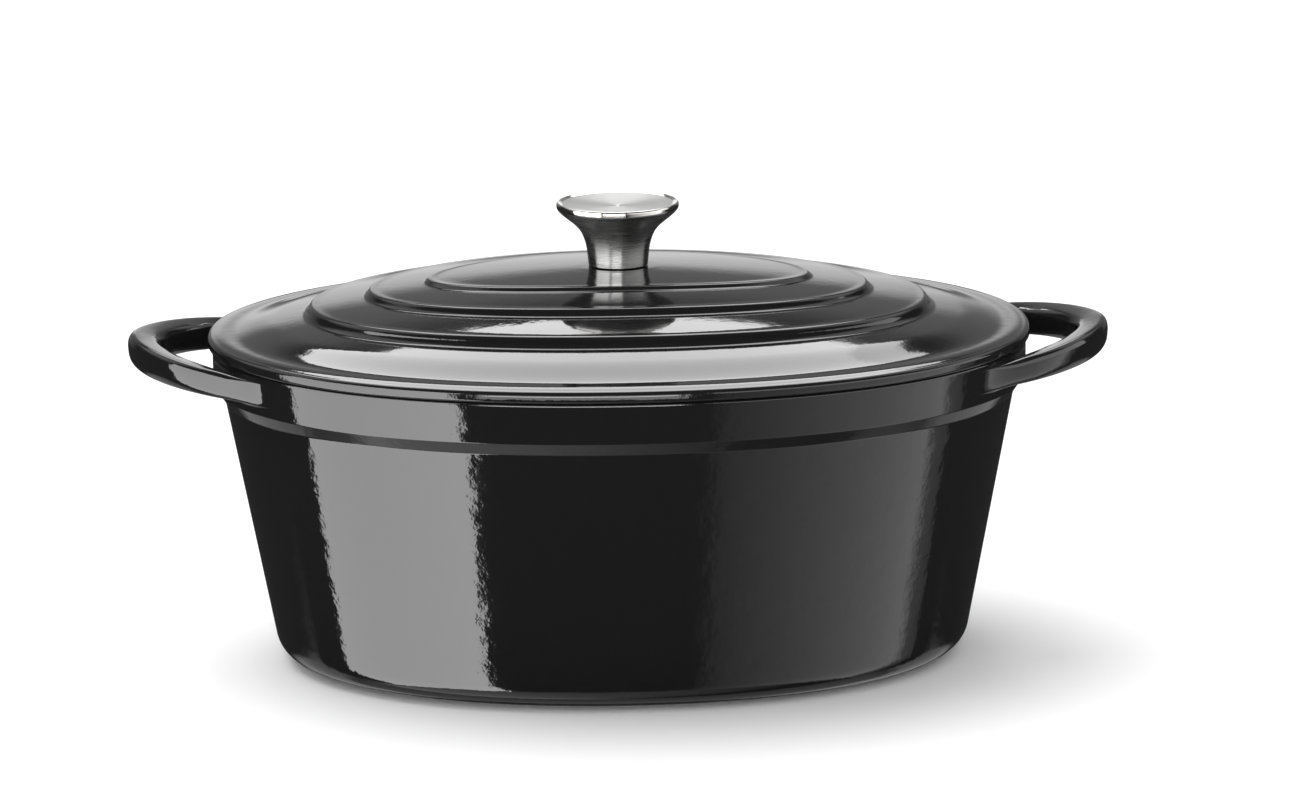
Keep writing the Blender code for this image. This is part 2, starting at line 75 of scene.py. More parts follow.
RIB_DEPTH = 5.5 * MM
LID_BOTTOM = lid_low.z + RIB_DEPTH
POT_HEIGHT = LID_BOTTOM - CLEARANCE
BAND_HEIGHT = 16.2 * MM
BAND_BOTTOM = POT_HEIGHT - BAND_HEIGHT
STEP_HEIGHT = 5.0 * MM
WALL_TOP = BAND_BOTTOM - STEP_HEIGHT
WALL = 4.2 * MM
FLOOR_THICKNESS = 5.0 * MM
FOOT_HEIGHT = 1.2 * MM
FOOT_SETBACK = 11 * MM
BAND_INSET = 1.5 * MM
BAND_DRAFT = 1.5 * MM
STEP_INSET = 3.4 * MM
WALL_DRAFT = 0.186
WALL_TOP_INSET = BAND_INSET + BAND_DRAFT + STEP_INSET
BASE_INSET = WALL_TOP_INSET + WALL_DRAFT * (WALL_TOP - FOOT_HEIGHT)
RIM_RADIUS = 1.2 * MM
RIM_WIDTH = 6.0 * MM
RIM_INNER_INSET = BAND_INSET + RIM_WIDTH
print("lid", round(2000 * HALF_LENGTH), "x", round(2000 * HALF_WIDTH), "mm, pot height",
      round(POT_HEIGHT / MM, 1), "mm")

# %% [markdown]
# ## Two helpers
# A colour is written as the hex value that a paint chart would give, and turned to the linear light
# that a renderer adds up. Every node, in geometry or in a material, is added by one small function,
# which sets its settings and feeds its sockets from a value, a socket or a whole node.

# %% Colours and nodes
def colour(hex_value):
    channels = [int(hex_value[k:k + 2], 16) / 255 for k in (1, 3, 5)]
    linear = [c / 12.92 if c <= 0.04045 else ((c + 0.055) / 1.055) ** 2.4 for c in channels]
    return (*linear, 1.0)


def add(tree, kind, feeds=None, **settings):
    """A node of this kind. Feeds maps an input's name or number to a value, a socket or a node."""
    node = tree.nodes.new(kind)
    for name, value in settings.items():
        setattr(node, name, value)
    for key, value in (feeds or {}).items():
        if isinstance(value, bpy.types.Node):
            value = next(output for output in value.outputs if output.enabled)
        if isinstance(value, bpy.types.NodeSocket):
            tree.links.new(value, node.inputs[key])
        else:
            node.inputs[key].default_value = value
    return node


ENAMEL_BLACK = "#191919"
print("black enamel in linear light:", [round(c, 4) for c in colour(ENAMEL_BLACK)])

# %% [markdown]
# ## What every finish starts from
# Each finish is one Principled shader with its typical colour, roughness and IOR. Its fine relief is
# a stack of bumps, each on top of the last, with heights and widths in real millimetres.

# %% A finish with its Principled shader
def finish(name, base, roughness, **sockets):
    """A material named for a real finish, and its node tree and its shader."""
    material = bpy.data.materials.new(name)
    material.use_nodes = True
    tree = material.node_tree
    shader = tree.nodes["Principled BSDF"]
    shader.inputs["Base Color"].default_value = colour(base)
    shader.inputs["Roughness"].default_value = roughness
    for socket, value in sockets.items():
        shader.inputs[socket.replace("_", " ")].default_value = value
    return material, tree, shader


def per_mm(length):
    """The scale of a pattern on Object coordinates whose cells are this many millimetres wide."""
    return 1 / (length * MM)


def bump_chain(tree, shader, layers, strength=1.0):
    """Bumps over each other: each layer is a height field's node and how high it stands in mm."""
    normal = None
    for height, size in layers:
        feeds = {"Height": height, "Distance": size * MM, "Strength": strength}
        if normal:
            feeds["Normal"] = normal
        normal = add(tree, "ShaderNodeBump", feeds)
    tree.links.new(normal.outputs["Normal"], shader.inputs["Normal"])


print("a pattern 3.4 mm wide has scale", round(per_mm(3.4)))

# %% [markdown]
# ## Black gloss enamel
# Vitreous enamel is glass, melted over iron at about 800 degrees. It is deep and mirror smooth, with
# the slight ripple of a thick melt, called orange peel: soft waves a few millimetres across, drawn
# a little higher here than real ones so that they show. Reflections in it have ragged edges.
# Two noises make the ripple, calmer on level faces where the melt settles flat, and a sparse cell
# pattern makes the pinholes where gas escaped. On crests and lips the melt draws thin, and the iron
# shows through it as a warmer, duller line.

# %% Black enamel
def black_enamel():
    material, tree, shader = finish("black gloss vitreous enamel", ENAMEL_BLACK, 0.05, IOR=1.52)
    mapping = add(tree, "ShaderNodeTexCoord").outputs
    place = mapping["Object"]
    upright = add(tree, "ShaderNodeSeparateXYZ", {"Vector": mapping["Normal"]}).outputs["Z"]
    level = add(tree, "ShaderNodeMapRange",
                {"Value": upright, "From Min": 0.3, "From Max": 0.95, "To Min": 1.0, "To Max": 0.3})
    swell = add(tree, "ShaderNodeTexNoise", {"Vector": place, "Scale": per_mm(11), "Detail": 1.0})
    peel = add(tree, "ShaderNodeTexNoise",
               {"Vector": place, "Scale": per_mm(3.4), "Detail": 2.0, "Roughness": 0.55})
    cells = add(tree, "ShaderNodeTexVoronoi", {"Vector": place, "Scale": per_mm(9)})
    pinhole = add(tree, "ShaderNodeMapRange",
                  {"Value": cells.outputs["Distance"], "From Min": 0.012, "From Max": 0.035},
                  interpolation_type="SMOOTHSTEP")
    bump_chain(tree, shader, [(swell, 0.10), (peel, 0.06), (pinhole, 0.02)], level)

    bend = add(tree, "ShaderNodeNewGeometry").outputs["Pointiness"]
    crest = add(tree, "ShaderNodeMapRange", {"Value": bend, "From Min": 0.53, "From Max": 0.60})
    patchy = add(tree, "ShaderNodeTexNoise", {"Vector": place, "Scale": per_mm(6), "Detail": 3.0})
    thin = add(tree, "ShaderNodeMath", {0: crest, 1: patchy}, operation="MULTIPLY")
    tint = add(tree, "ShaderNodeMix",
               {"Factor": thin, "A": colour(ENAMEL_BLACK), "B": colour("#262524")}, data_type="RGBA")
    tree.links.new(tint.outputs["Result"], shader.inputs["Base Color"])
    haze = add(tree, "ShaderNodeTexNoise", {"Vector": place, "Scale": per_mm(45), "Detail": 4.0})
    gloss = add(tree, "ShaderNodeMapRange",
                {"Value": haze, "From Min": 0.3, "From Max": 0.7, "To Min": 0.035, "To Max": 0.075})
    rough = add(tree, "ShaderNodeMath", {0: thin, 1: 0.10, 2: gloss}, operation="MULTIPLY_ADD")
    tree.links.new(rough.outputs[0], shader.inputs["Roughness"])
    return material


enamel_black = black_enamel()
print("made", enamel_black.name)

# %% [markdown]
# ## Ground coat and sand enamel
# The first coat, called the ground coat, is a matt dark glass full of metal oxides. It is left bare
# where the lid rubs on the rim and where the foot stands, because a gloss coat would chip there.
# The inside has a light cover coat, the colour of sand, glossy but never quite even, with specks.

# %% Matt ground coat and sand enamel
def ground_coat():
    material, tree, shader = finish("matt ground coat enamel", "#191a1b", 0.5, IOR=1.5)
    place = add(tree, "ShaderNodeTexCoord").outputs["Object"]
    grain = add(tree, "ShaderNodeTexNoise", {"Vector": place, "Scale": per_mm(0.7), "Detail": 4.0})
    cloud = add(tree, "ShaderNodeTexNoise", {"Vector": place, "Scale": per_mm(14), "Detail": 3.0})
    tint = add(tree, "ShaderNodeMix", {"Factor": cloud, "A": colour("#121314"), "B": colour("#27282a")},
               data_type="RGBA")
    tree.links.new(tint.outputs["Result"], shader.inputs["Base Color"])
    rub = add(tree, "ShaderNodeMapRange",
              {"Value": cloud, "From Min": 0.3, "From Max": 0.7, "To Min": 0.36, "To Max": 0.58})
    tree.links.new(rub.outputs[0], shader.inputs["Roughness"])
    bump_chain(tree, shader, [(grain, 0.05)])
    return material


def sand_enamel():
    material, tree, shader = finish("sand gloss vitreous enamel", "#d8cdb6", 0.16, IOR=1.52)
    place = add(tree, "ShaderNodeTexCoord").outputs["Object"]
    cloud = add(tree, "ShaderNodeTexNoise", {"Vector": place, "Scale": per_mm(30), "Detail": 4.0})
    base = add(tree, "ShaderNodeMix", {"Factor": cloud, "A": colour("#cfc3a9"), "B": colour("#e2d9c5")},
               data_type="RGBA")
    cells = add(tree, "ShaderNodeTexVoronoi", {"Vector": place, "Scale": per_mm(3.2)})
    speck = add(tree, "ShaderNodeMapRange",
                {"Value": cells.outputs["Distance"], "From Min": 0.05, "From Max": 0.11,
                 "To Min": 0.55, "To Max": 0.0}, interpolation_type="SMOOTHSTEP")
    tint = add(tree, "ShaderNodeMix",
               {"Factor": speck, "A": base.outputs["Result"], "B": colour("#8b7c62")}, data_type="RGBA")
    tree.links.new(tint.outputs["Result"], shader.inputs["Base Color"])
    peel = add(tree, "ShaderNodeTexNoise", {"Vector": place, "Scale": per_mm(4), "Detail": 2.0})
    gloss = add(tree, "ShaderNodeMapRange",
                {"Value": cloud, "From Min": 0.3, "From Max": 0.7, "To Min": 0.11, "To Max": 0.2})
    tree.links.new(gloss.outputs[0], shader.inputs["Roughness"])
    bump_chain(tree, shader, [(peel, 0.09)])
    return material


ground = ground_coat()
sand = sand_enamel()
print("made", ground.name, "and", sand.name)

# %% [markdown]
# ## Stainless steel, spun, brushed and plain
# The knob is pressed from sheet and brushed while it turns, so the scratches run round its axis.
# Light then spreads across the scratches and hardly along them: streaks on the stem, and a fan on
# the dish. An anisotropic shader with a tangent round Z gives that spread, and a noise read by
# radius and height, with almost no change round the axis, gives the scratches themselves.

# %% Steel and silicone
def turned_steel(name, base, roughness, scratch_mm, depth_mm, spread):
    material, tree, shader = finish(
        name, base, roughness, Metallic=1.0, Anisotropic=spread, Anisotropic_Rotation=0.25)
    place = add(tree, "ShaderNodeTexCoord").outputs["Object"]
    parts = add(tree, "ShaderNodeSeparateXYZ", {"Vector": place})
    across = add(tree, "ShaderNodeCombineXYZ", {"X": parts.outputs["X"], "Y": parts.outputs["Y"]})
    radius = add(tree, "ShaderNodeVectorMath", {0: across}, operation="LENGTH").outputs["Value"]
    turn = add(tree, "ShaderNodeMath", {0: parts.outputs["Y"], 1: parts.outputs["X"]},
               operation="ARCTAN2")
    drift = add(tree, "ShaderNodeMath", {0: turn, 1: 0.25 * MM}, operation="MULTIPLY")
    lines = add(tree, "ShaderNodeCombineXYZ", {"X": radius, "Y": drift, "Z": parts.outputs["Z"]})
    scratch = add(tree, "ShaderNodeTexNoise",
                  {"Vector": lines, "Scale": per_mm(scratch_mm), "Detail": 5.0, "Roughness": 0.7})
    bump_chain(tree, shader, [(scratch, depth_mm)])
    worn = add(tree, "ShaderNodeMapRange",
               {"Value": scratch, "From Min": 0.3, "From Max": 0.7,
                "To Min": roughness * 0.75, "To Max": roughness * 1.3})
    tree.links.new(worn.outputs[0], shader.inputs["Roughness"])
    streak = add(tree, "ShaderNodeMapRange", {"Value": scratch, "From Min": 0.3, "From Max": 0.7})
    dark = tuple(0.86 * c for c in colour(base)[:3]) + (1.0,)
    tint = add(tree, "ShaderNodeMix", {"Factor": streak, "A": dark, "B": colour(base)},
               data_type="RGBA")
    tree.links.new(tint.outputs["Result"], shader.inputs["Base Color"])
    tangent = add(tree, "ShaderNodeTangent", direction_type="RADIAL", axis="Z")
    tree.links.new(tangent.outputs[0], shader.inputs["Tangent"])
    return material


def black_silicone():
    material, tree, shader = finish("black moulded silicone", "#101010", 0.6, IOR=1.41)
    place = add(tree, "ShaderNodeTexCoord").outputs["Object"]
    grain = add(tree, "ShaderNodeTexNoise", {"Vector": place, "Scale": per_mm(0.4), "Detail": 3.0})
    rough = add(tree, "ShaderNodeMapRange", {"Value": grain, "To Min": 0.5, "To Max": 0.75})
    tree.links.new(rough.outputs[0], shader.inputs["Roughness"])
    bump_chain(tree, shader, [(grain, 0.02)])
    return material


brushed = turned_steel("brushed stainless steel", "#afafae", 0.27, 0.22, 0.0003, 0.7)
spun = turned_steel("spun stainless steel", "#a9a9a8", 0.42, 0.22, 0.0003, 0.5)
polished = turned_steel("buffed stainless steel lip", "#dcdad6", 0.10, 0.50, 0.0004, 0.3)
plain = turned_steel("turned stainless steel screw stock", "#bdbcb9", 0.28, 0.30, 0.002, 0.4)
silicone = black_silicone()
print("made", brushed.name, spun.name, polished.name, plain.name, silicone.name, sep=", ")

# %% [markdown]
# ## Profiles
# Everything here is drawn as a profile, as a pattern maker would draw half a section. Corners are
# given with the radius of their fillet, and one function rounds them. A point has an inset, which is
# how far in from the lid's outline its oval lies, and a height.

# %% Round a profile's corners
def rounded_profile(corners, steps=7):
    """A profile through (across, height, radius) corners, each corner of some radius made an arc."""
    points = [corners[0][:2]]
    for before, corner, after in zip(corners, corners[1:], corners[2:]):
        x, z, radius = corner
        if not radius:
            points.append((x, z))
            continue
        ax, az = before[0] - x, before[1] - z
        bx, bz = after[0] - x, after[1] - z
        a_length, b_length = math.hypot(ax, az), math.hypot(bx, bz)
        ax, az, bx, bz = ax / a_length, az / a_length, bx / b_length, bz / b_length
        half = math.acos(max(-1.0, min(1.0, ax * bx + az * bz))) / 2
        reach = radius / math.tan(half)
        mx, mz = ax + bx, az + bz
        m_length = math.hypot(mx, mz)
        cx = x + mx / m_length * radius / math.sin(half)
        cz = z + mz / m_length * radius / math.sin(half)
        start = math.atan2(z + az * reach - cz, x + ax * reach - cx)
        end = math.atan2(z + bz * reach - cz, x + bx * reach - cx)
        turn = (end - start + math.pi) % math.tau - math.pi
        for k in range(steps + 1):
            angle = start + turn * k / steps
            points.append((cx + radius * math.cos(angle), cz + radius * math.sin(angle)))
    points.append(corners[-1][:2])
    return points


def filled(points, longest):
    """The same profile with points added, so that no stretch is longer than this."""
    result = [points[0]]
    for (x0, z0), (x1, z1) in zip(points, points[1:]):
        parts = max(1, math.ceil(math.hypot(x1 - x0, z1 - z0) / longest))
        for k in range(1, parts + 1):
            result.append((x0 + (x1 - x0) * k / parts, z0 + (z1 - z0) * k / parts))
    return result


# %% [markdown]
# ## An oval lathe in Geometry Nodes
# A lathe turns a profile round an axis into a round piece. This tree does the same for ovals. It
# makes a grid, one row for each profile point and one column for each place around, and moves each
# grid point to where the rule puts it: on a superellipse, a circle, or in between. It also lifts
# points that lie on the lid's dome. One rule shapes every ring, so the ridges stay parallel and a
# size can be changed in one place. The same tree turns the knob, the washers and the screw.

# %% The oval lathe's inputs
def lathe_tree():
    tree = bpy.data.node_groups.new("oval lathe", "GeometryNodeTree")
    tree.is_modifier = True
    inputs = [
        ("Profile", "Geometry", None),
        ("Points Around", "Int", 320),
        ("Length", "Float", 2 * HALF_LENGTH),
        ("Width", "Float", 2 * HALF_WIDTH),
        ("Oval Power", "Float", OVAL_POWER),
        ("End Crowding", "Float", END_CROWDING),
        ("Dome Rise", "Float", DOME_RISE),
        ("Dome Power", "Float", DOME_POWER),
        ("Dome Inset", "Float", EDGE_INSET),
        ("Finish 0", "Material", None),
        ("Finish 1", "Material", None),
        ("Finish 2", "Material", None),
    ]
    for name, kind, value in inputs:
        socket = tree.interface.new_socket(name, in_out="INPUT", socket_type="NodeSocket" + kind)
        if value is not None:
            socket.default_value = value
    tree.interface.new_socket("Piece", in_out="OUTPUT", socket_type="NodeSocketGeometry")
    given = add(tree, "NodeGroupInput").outputs
    math_node, whole = "ShaderNodeMath", "FunctionNodeIntegerMath"

    # One row for each profile point, one column for each place around, and one more to close it
    counted = add(tree, "GeometryNodeAttributeDomainSize", {0: given["Profile"]})
    columns = add(tree, whole, {0: given["Points Around"], 1: 1}, operation="ADD")
    grid = add(tree, "GeometryNodeMeshGrid",
               {"Vertices X": counted.outputs["Point Count"], "Vertices Y": columns})
    index = add(tree, "GeometryNodeInputIndex")
    row = add(tree, whole, {0: index, 1: columns}, operation="DIVIDE_FLOOR")
    column = add(tree, whole, {0: index, 1: columns}, operation="MODULO")

    # What the profile says at this row: its place, and the three values that it carries
    own_place = add(tree, "GeometryNodeInputPosition")
    carried = add(tree, "GeometryNodeInputNamedAttribute", {"Name": "carried"},
                  data_type="FLOAT_VECTOR")
    place = add(tree, "GeometryNodeSampleIndex",
                {"Geometry": given["Profile"], "Value": own_place, "Index": row},
                data_type="FLOAT_VECTOR")
    extra = add(tree, "GeometryNodeSampleIndex",
                {"Geometry": given["Profile"], "Value": carried, "Index": row},
                data_type="FLOAT_VECTOR")
    inset, share, height = add(tree, "ShaderNodeSeparateXYZ", {0: place}).outputs
    radius, domed, coat = add(tree, "ShaderNodeSeparateXYZ", {0: extra}).outputs

    # The angle, with its steps crowded at the two ends of the oval
    turn = add(tree, math_node, {0: column, 1: given["Points Around"]}, operation="DIVIDE")
    turn = add(tree, math_node, {0: turn, 1: math.tau}, operation="MULTIPLY")
    twice = add(tree, math_node, {0: turn, 1: 2.0}, operation="MULTIPLY")
    wave = add(tree, math_node, {0: twice}, operation="SINE")
    shift = add(tree, math_node, {0: wave, 1: given["End Crowding"]}, operation="MULTIPLY")
    angle = add(tree, math_node, {0: turn, 1: shift}, operation="SUBTRACT")

    # Each axis: a point of the superellipse, mixed with a point of the circle
    bend = add(tree, math_node, {0: 2.0, 1: given["Oval Power"]}, operation="DIVIDE")
    placed, levels = [], []
    for size, wave_kind in (("Length", "COSINE"), ("Width", "SINE")):
        semi = add(tree, math_node, {0: given[size], 1: 0.5}, operation="MULTIPLY")
        wave = add(tree, math_node, {0: angle}, operation=wave_kind)
        sign = add(tree, math_node, {0: wave}, operation="SIGN")
        plain_wave = add(tree, math_node, {0: wave}, operation="ABSOLUTE")
        fuller = add(tree, math_node, {0: plain_wave, 1: bend}, operation="POWER")
        fuller = add(tree, math_node, {0: fuller, 1: sign}, operation="MULTIPLY")
        reach = add(tree, math_node, {0: semi, 1: inset}, operation="SUBTRACT")
        on_oval = add(tree, math_node, {0: reach, 1: fuller}, operation="MULTIPLY")
        on_circle = add(tree, math_node, {0: radius, 1: wave}, operation="MULTIPLY")
        along = add(tree, "ShaderNodeMix", {"Factor": share, "A": on_circle, "B": on_oval},
                    data_type="FLOAT")
        placed.append(along)
        dome_semi = add(tree, math_node, {0: semi, 1: given["Dome Inset"]}, operation="SUBTRACT")
        part = add(tree, math_node, {0: along, 1: dome_semi}, operation="DIVIDE")
        part = add(tree, math_node, {0: part}, operation="ABSOLUTE")
        levels.append(add(tree, math_node, {0: part, 1: given["Oval Power"]}, operation="POWER"))

    # The dome: its full rise in the middle, none at its edge
    level = add(tree, math_node, {0: levels[0], 1: levels[1]}, operation="ADD")
    steep = add(tree, math_node, {0: given["Dome Power"], 1: given["Oval Power"]}, operation="DIVIDE")
    level = add(tree, math_node, {0: level, 1: steep}, operation="POWER")
    below = add(tree, math_node, {0: 1.0, 1: level}, operation="SUBTRACT")
    rise = add(tree, math_node, {0: below, 1: given["Dome Rise"]}, operation="MULTIPLY")
    lift = add(tree, math_node, {0: rise, 1: domed, 2: height}, operation="MULTIPLY_ADD")
    target = add(tree, "ShaderNodeCombineXYZ", {"X": placed[0], "Y": placed[1], "Z": lift})

    # Each row's coat is written down before the seam and the poles are closed
    moved = add(tree, "GeometryNodeSetPosition", {"Geometry": grid.outputs["Mesh"],
                                                  "Position": target})
    coated = add(tree, "GeometryNodeStoreNamedAttribute",
                 {"Geometry": moved, "Name": "coat", "Value": coat}, data_type="FLOAT")
    closed = add(tree, "GeometryNodeMergeByDistance", {"Geometry": coated, "Distance": 0.002 * MM})
    smooth = add(tree, "GeometryNodeSetShadeSmooth", {"Geometry": closed})
    shape = add(tree, "GeometryNodeRealizeInstances", {"Geometry": smooth})
    coat_here = add(tree, "GeometryNodeInputNamedAttribute", {"Name": "coat"}, data_type="FLOAT")
    for number in range(3):
        chosen = add(tree, "FunctionNodeCompare", {"A": coat_here, "B": number - 0.75},
                     data_type="FLOAT", operation="GREATER_THAN")
        shape = add(tree, "GeometryNodeSetMaterial",
                    {"Geometry": shape, "Selection": chosen, "Material": given[f"Finish {number}"]})
    add(tree, "NodeGroupOutput", {"Piece": shape})
    return tree


LATHE = lathe_tree()
print("the oval lathe has", len(LATHE.nodes), "nodes")

# %% [markdown]
# ## From a profile to a piece
# A profile goes to the lathe as a line whose points carry its rows. The result is copied to a plain
# mesh with no modifier, and its signed volume tells whether it is inside out. Open edges are counted
# too, because a seam that failed to close would show there.

# %% Run a profile through the lathe
def carried_points(rows):
    """A polyline mesh whose points carry a profile's rows: (inset, oval share, height, radius,
    on the dome, coat)."""
    mesh = bpy.data.meshes.new("profile")
    mesh.from_pydata([row[:3] for row in rows], [(k, k + 1) for k in range(len(rows) - 1)], [])
    carried = mesh.attributes.new("carried", "FLOAT_VECTOR", "POINT")
    carried.data.foreach_set("vector", [value for row in rows for value in row[3:6]])
    return mesh


def facing_out(mesh):
    """Turns a closed mesh's faces outward if they point in, and returns its volume."""
    bm = bmesh.new()
    bm.from_mesh(mesh)
    volume = bm.calc_volume(signed=True)
    if volume < 0:
        bmesh.ops.reverse_faces(bm, faces=bm.faces)
        bm.to_mesh(mesh)
    open_edges = sum(1 for edge in bm.edges if not edge.is_manifold)
    bm.free()
    return abs(volume), open_edges


def lathe(name, rows, finishes, around=320, crowding=0.0):
    """A plain mesh object: the profile's rows turned on the oval lathe."""
    maker = bpy.data.objects.new(name + " profile", carried_points(rows))
    bpy.context.scene.collection.objects.link(maker)
    modifier = maker.modifiers.new("oval lathe", "NODES")
    modifier.node_group = LATHE
    values = {"Points Around": around, "End Crowding": crowding}
    for number in range(3):
        values[f"Finish {number}"] = finishes[min(number, len(finishes) - 1)]
    for socket in LATHE.interface.items_tree:
        if socket.name in values:
            modifier[socket.identifier] = values[socket.name]
    maker.update_tag()
    depsgraph = bpy.context.evaluated_depsgraph_get()
    mesh = bpy.data.meshes.new_from_object(maker.evaluated_get(depsgraph), depsgraph=depsgraph)
    bpy.data.objects.remove(maker)
    mesh.name = name
    volume, open_edges = facing_out(mesh)
    piece = bpy.data.objects.new(name, mesh)
    bpy.context.scene.collection.objects.link(piece)
    print(f"{name}: {len(mesh.polygons)} faces, {volume / MM**3 / 1000:.2f} cm3, "
          f"{open_edges} open edges")
    return piece


# %% [markdown]
# ## The lid
# The lid is a shallow dome with three ridges, each a step up that follows the outline. Its edge is
# a soft bull nose, and under it a rib drops inside the pot's rim to keep the lid centred. The profile
# runs from the screw's hole outward over the ridges, round the edge, and back under the dome.

# %% Draw and turn the lid
LID_THICKNESS = 4.2 * MM
LID_EDGE_HEIGHT = 4.4 * MM
LID_EDGE_TOP = LID_BOTTOM + LID_EDGE_HEIGHT
RIDGES = ((41.2 * MM, 3.4 * MM), (65.1 * MM, 2.2 * MM), (88.8 * MM, 1.2 * MM))
RIDGE_RISE = sum(height for inset, height in RIDGES)
KNOB_SEAT = LID_EDGE_TOP + DOME_RISE + RIDGE_RISE - 0.2 * MM
WASHER_SEAT = KNOB_SEAT - 6.8 * MM
HOLE_RADIUS = 3.5 * MM
PAD_RADIUS = 14.5 * MM
WASHER_PAD_RADIUS = 10.5 * MM
INNERMOST = RIDGES[-1][0] + 4 * MM
BLACK, MATT, SAND = 0, 1, 2


def crown_rows(pad_radius, base, shares, coat):
    """Rows between the round pad in the middle and the innermost oval, on the dome."""
    return [(INNERMOST, share, base, pad_radius, 1.0, coat) for share in shares]


BEAD_WIDTH = 1.8 * MM
BEAD_HEIGHT = 0.18 * MM
BRIM_START = 4 * MM
BRIM_FALL = 8 * MM
BRIM_RISE = 16 * MM
BRIM_DIP = 1.0 * MM
RISER_RUN = 1.5 * MM
RIB_GAP = 0.6 * MM
RIB_SETBACK = 1.4 * MM
RIB_WIDTH = 3.6 * MM
UNDER_FILLET = 2 * MM


def brim_offset(inset):
    """How far the dome dips where it sweeps out into a flatter brim just inside the edge, and how
    far the melt stands up in a soft bead along each crest."""
    falling = max(0.0, min(1.0, (inset - BRIM_START) / BRIM_FALL))
    rising = max(0.0, min(1.0, (inset - BRIM_START - BRIM_FALL) / BRIM_RISE))
    dip = -BRIM_DIP * (smooth_step(falling) - smooth_step(rising))
    beads = sum(math.exp(-(((inset - ridge - BEAD_WIDTH / 2) / BEAD_WIDTH) ** 2))
                for ridge, _ in RIDGES)
    return dip + BEAD_HEIGHT * beads


def smooth_step(share):
    return share * share * (3 - 2 * share)


def lid_rows():
    rows = [
        (0, 0, KNOB_SEAT - 0.4 * MM, HOLE_RADIUS, 0, BLACK),
        (0, 0, KNOB_SEAT, HOLE_RADIUS + 0.5 * MM, 0, BLACK),
        (0, 0, KNOB_SEAT, 0.7 * PAD_RADIUS, 0, BLACK),
        (0, 0, KNOB_SEAT, PAD_RADIUS, 0, BLACK),
    ]
    top = LID_EDGE_TOP + RIDGE_RISE
    shares = [(k / 16) ** 1.2 for k in range(1, 17)]
    rows += crown_rows(PAD_RADIUS, top, shares, BLACK)

    # Outward over the ridges: a crest, a steep riser and a fillet at its foot
    corners = [(INNERMOST, RIDGE_RISE, 0)]
    climbed = RIDGE_RISE
    for inset, height in reversed(RIDGES):
        soft = 0.9 * MM + 0.4 * height
        corners.append((inset, climbed, soft))
        climbed -= height
        corners.append((inset - RISER_RUN, climbed, 1.35 * soft))
    corners.append((EDGE_INSET + 1.6 * MM, 0, 0))
    for inset, step in filled(rounded_profile(corners, 8), 0.8 * MM)[1:]:
        rows.append((inset, 1, LID_EDGE_TOP + step + brim_offset(inset), 0, 1.0, BLACK))

    # Round the bull nose of the edge
    nose = rounded_profile(
        [
            (EDGE_INSET + 1.2 * MM, LID_EDGE_TOP + 0.28 * MM, 0),
            (0.02 * MM, LID_EDGE_TOP - 0.05 * MM, 2.0 * MM),
            (0, LID_BOTTOM, 1.3 * MM),
            (2.5 * MM, LID_BOTTOM, 0),
        ],
        9,
    )
    rows += [(inset, 1, height, 0, 0, BLACK) for inset, height in nose]

    # The seat and the rib are matt, and the hollow under the dome is sand
    rib_outer = RIM_INNER_INSET + RIB_GAP + RIB_SETBACK
    inner_edge = rib_outer + RIB_WIDTH
    rib_bottom = LID_BOTTOM - RIB_DEPTH
    under = LID_EDGE_TOP - LID_THICKNESS
    seat = rounded_profile(
        [
            (3.4 * MM, LID_BOTTOM, 0),
            (rib_outer - 0.3 * MM, LID_BOTTOM, 0.9 * MM),
            (rib_outer, rib_bottom, 1.2 * MM),
            (inner_edge, rib_bottom, 1.2 * MM),
            (inner_edge + 0.6 * MM, under - 0.6 * MM, 0),
        ]
    )
    rows += [(inset, 1, height, 0, 0, MATT) for inset, height in filled(seat, 2 * MM)]
    rows.append((inner_edge + 3 * MM, 1, under + 1.6 * MM, 0, 0, SAND))
    corners = [(inner_edge + 7 * MM, 0, 0), (RIDGES[0][0] - 2.0 * MM, 0, UNDER_FILLET)]
    climbed = 0.0
    for inset, height in RIDGES:
        if climbed:
            corners.append((inset - 2.0 * MM, climbed, UNDER_FILLET))
        climbed += height
        corners.append((inset + 3.0 * MM, climbed, UNDER_FILLET))
    corners.append((INNERMOST, climbed, 0))
    for inset, step in filled(rounded_profile(corners, 5), 4 * MM):
        rows.append((inset, 1, under + step, 0, 1.0, SAND))
    shares = [1 - (k / 10) ** 1.3 for k in range(1, 10)]
    rows += crown_rows(WASHER_PAD_RADIUS, under + RIDGE_RISE, shares, SAND)
    rows += [
        (0, 0, WASHER_SEAT, WASHER_PAD_RADIUS, 0, SAND),
        (0, 0, WASHER_SEAT, HOLE_RADIUS, 0, SAND),
    ]
    return rows + rows[:1]


lid_casting = lathe("lid_casting", lid_rows(), (enamel_black, ground, sand), 320, END_CROWDING)

# %% [markdown]
# ## The pot
# The pot is the same family of rings from foot to rim and down inside, but at the band two of its
# sides are drawn out into loop handles. How far a ring is drawn out is where a ray from the middle
# leaves the soft union of two shapes: the band's oval, and the flat oval of the handles. There is no
# formula for that crossing, so it is found by halving. The finger openings are then cut through.

# %% The outline of the handles
HANDLE_REACH = 31.5 * MM
HANDLE_CENTRE = HALF_LENGTH - 25 * MM
HANDLE_HALF_SPREAD = 58.5 * MM
HANDLE_POWER = 1.8
HANDLE_DEPTH = 9.3 * MM
HANDLE_CROWN = 0.9 * MM
HANDLE_TOP = POT_HEIGHT - 2.9 * MM
HANDLE_BOTTOM = HANDLE_TOP - HANDLE_DEPTH
HANDLE_BAR = 12.2 * MM
HANDLE_ROUNDING = 3.8 * MM
HANDLE_RISE = 0.142
HANDLE_SWELL = 0.080
HANDLE_BLEND = 8 * MM
POT_POINTS = 320
FINGER_HALF_ANGLE = math.radians(15.5)
FINGER_POWER = 2.6
FLOOR_FILLET = 16 * MM


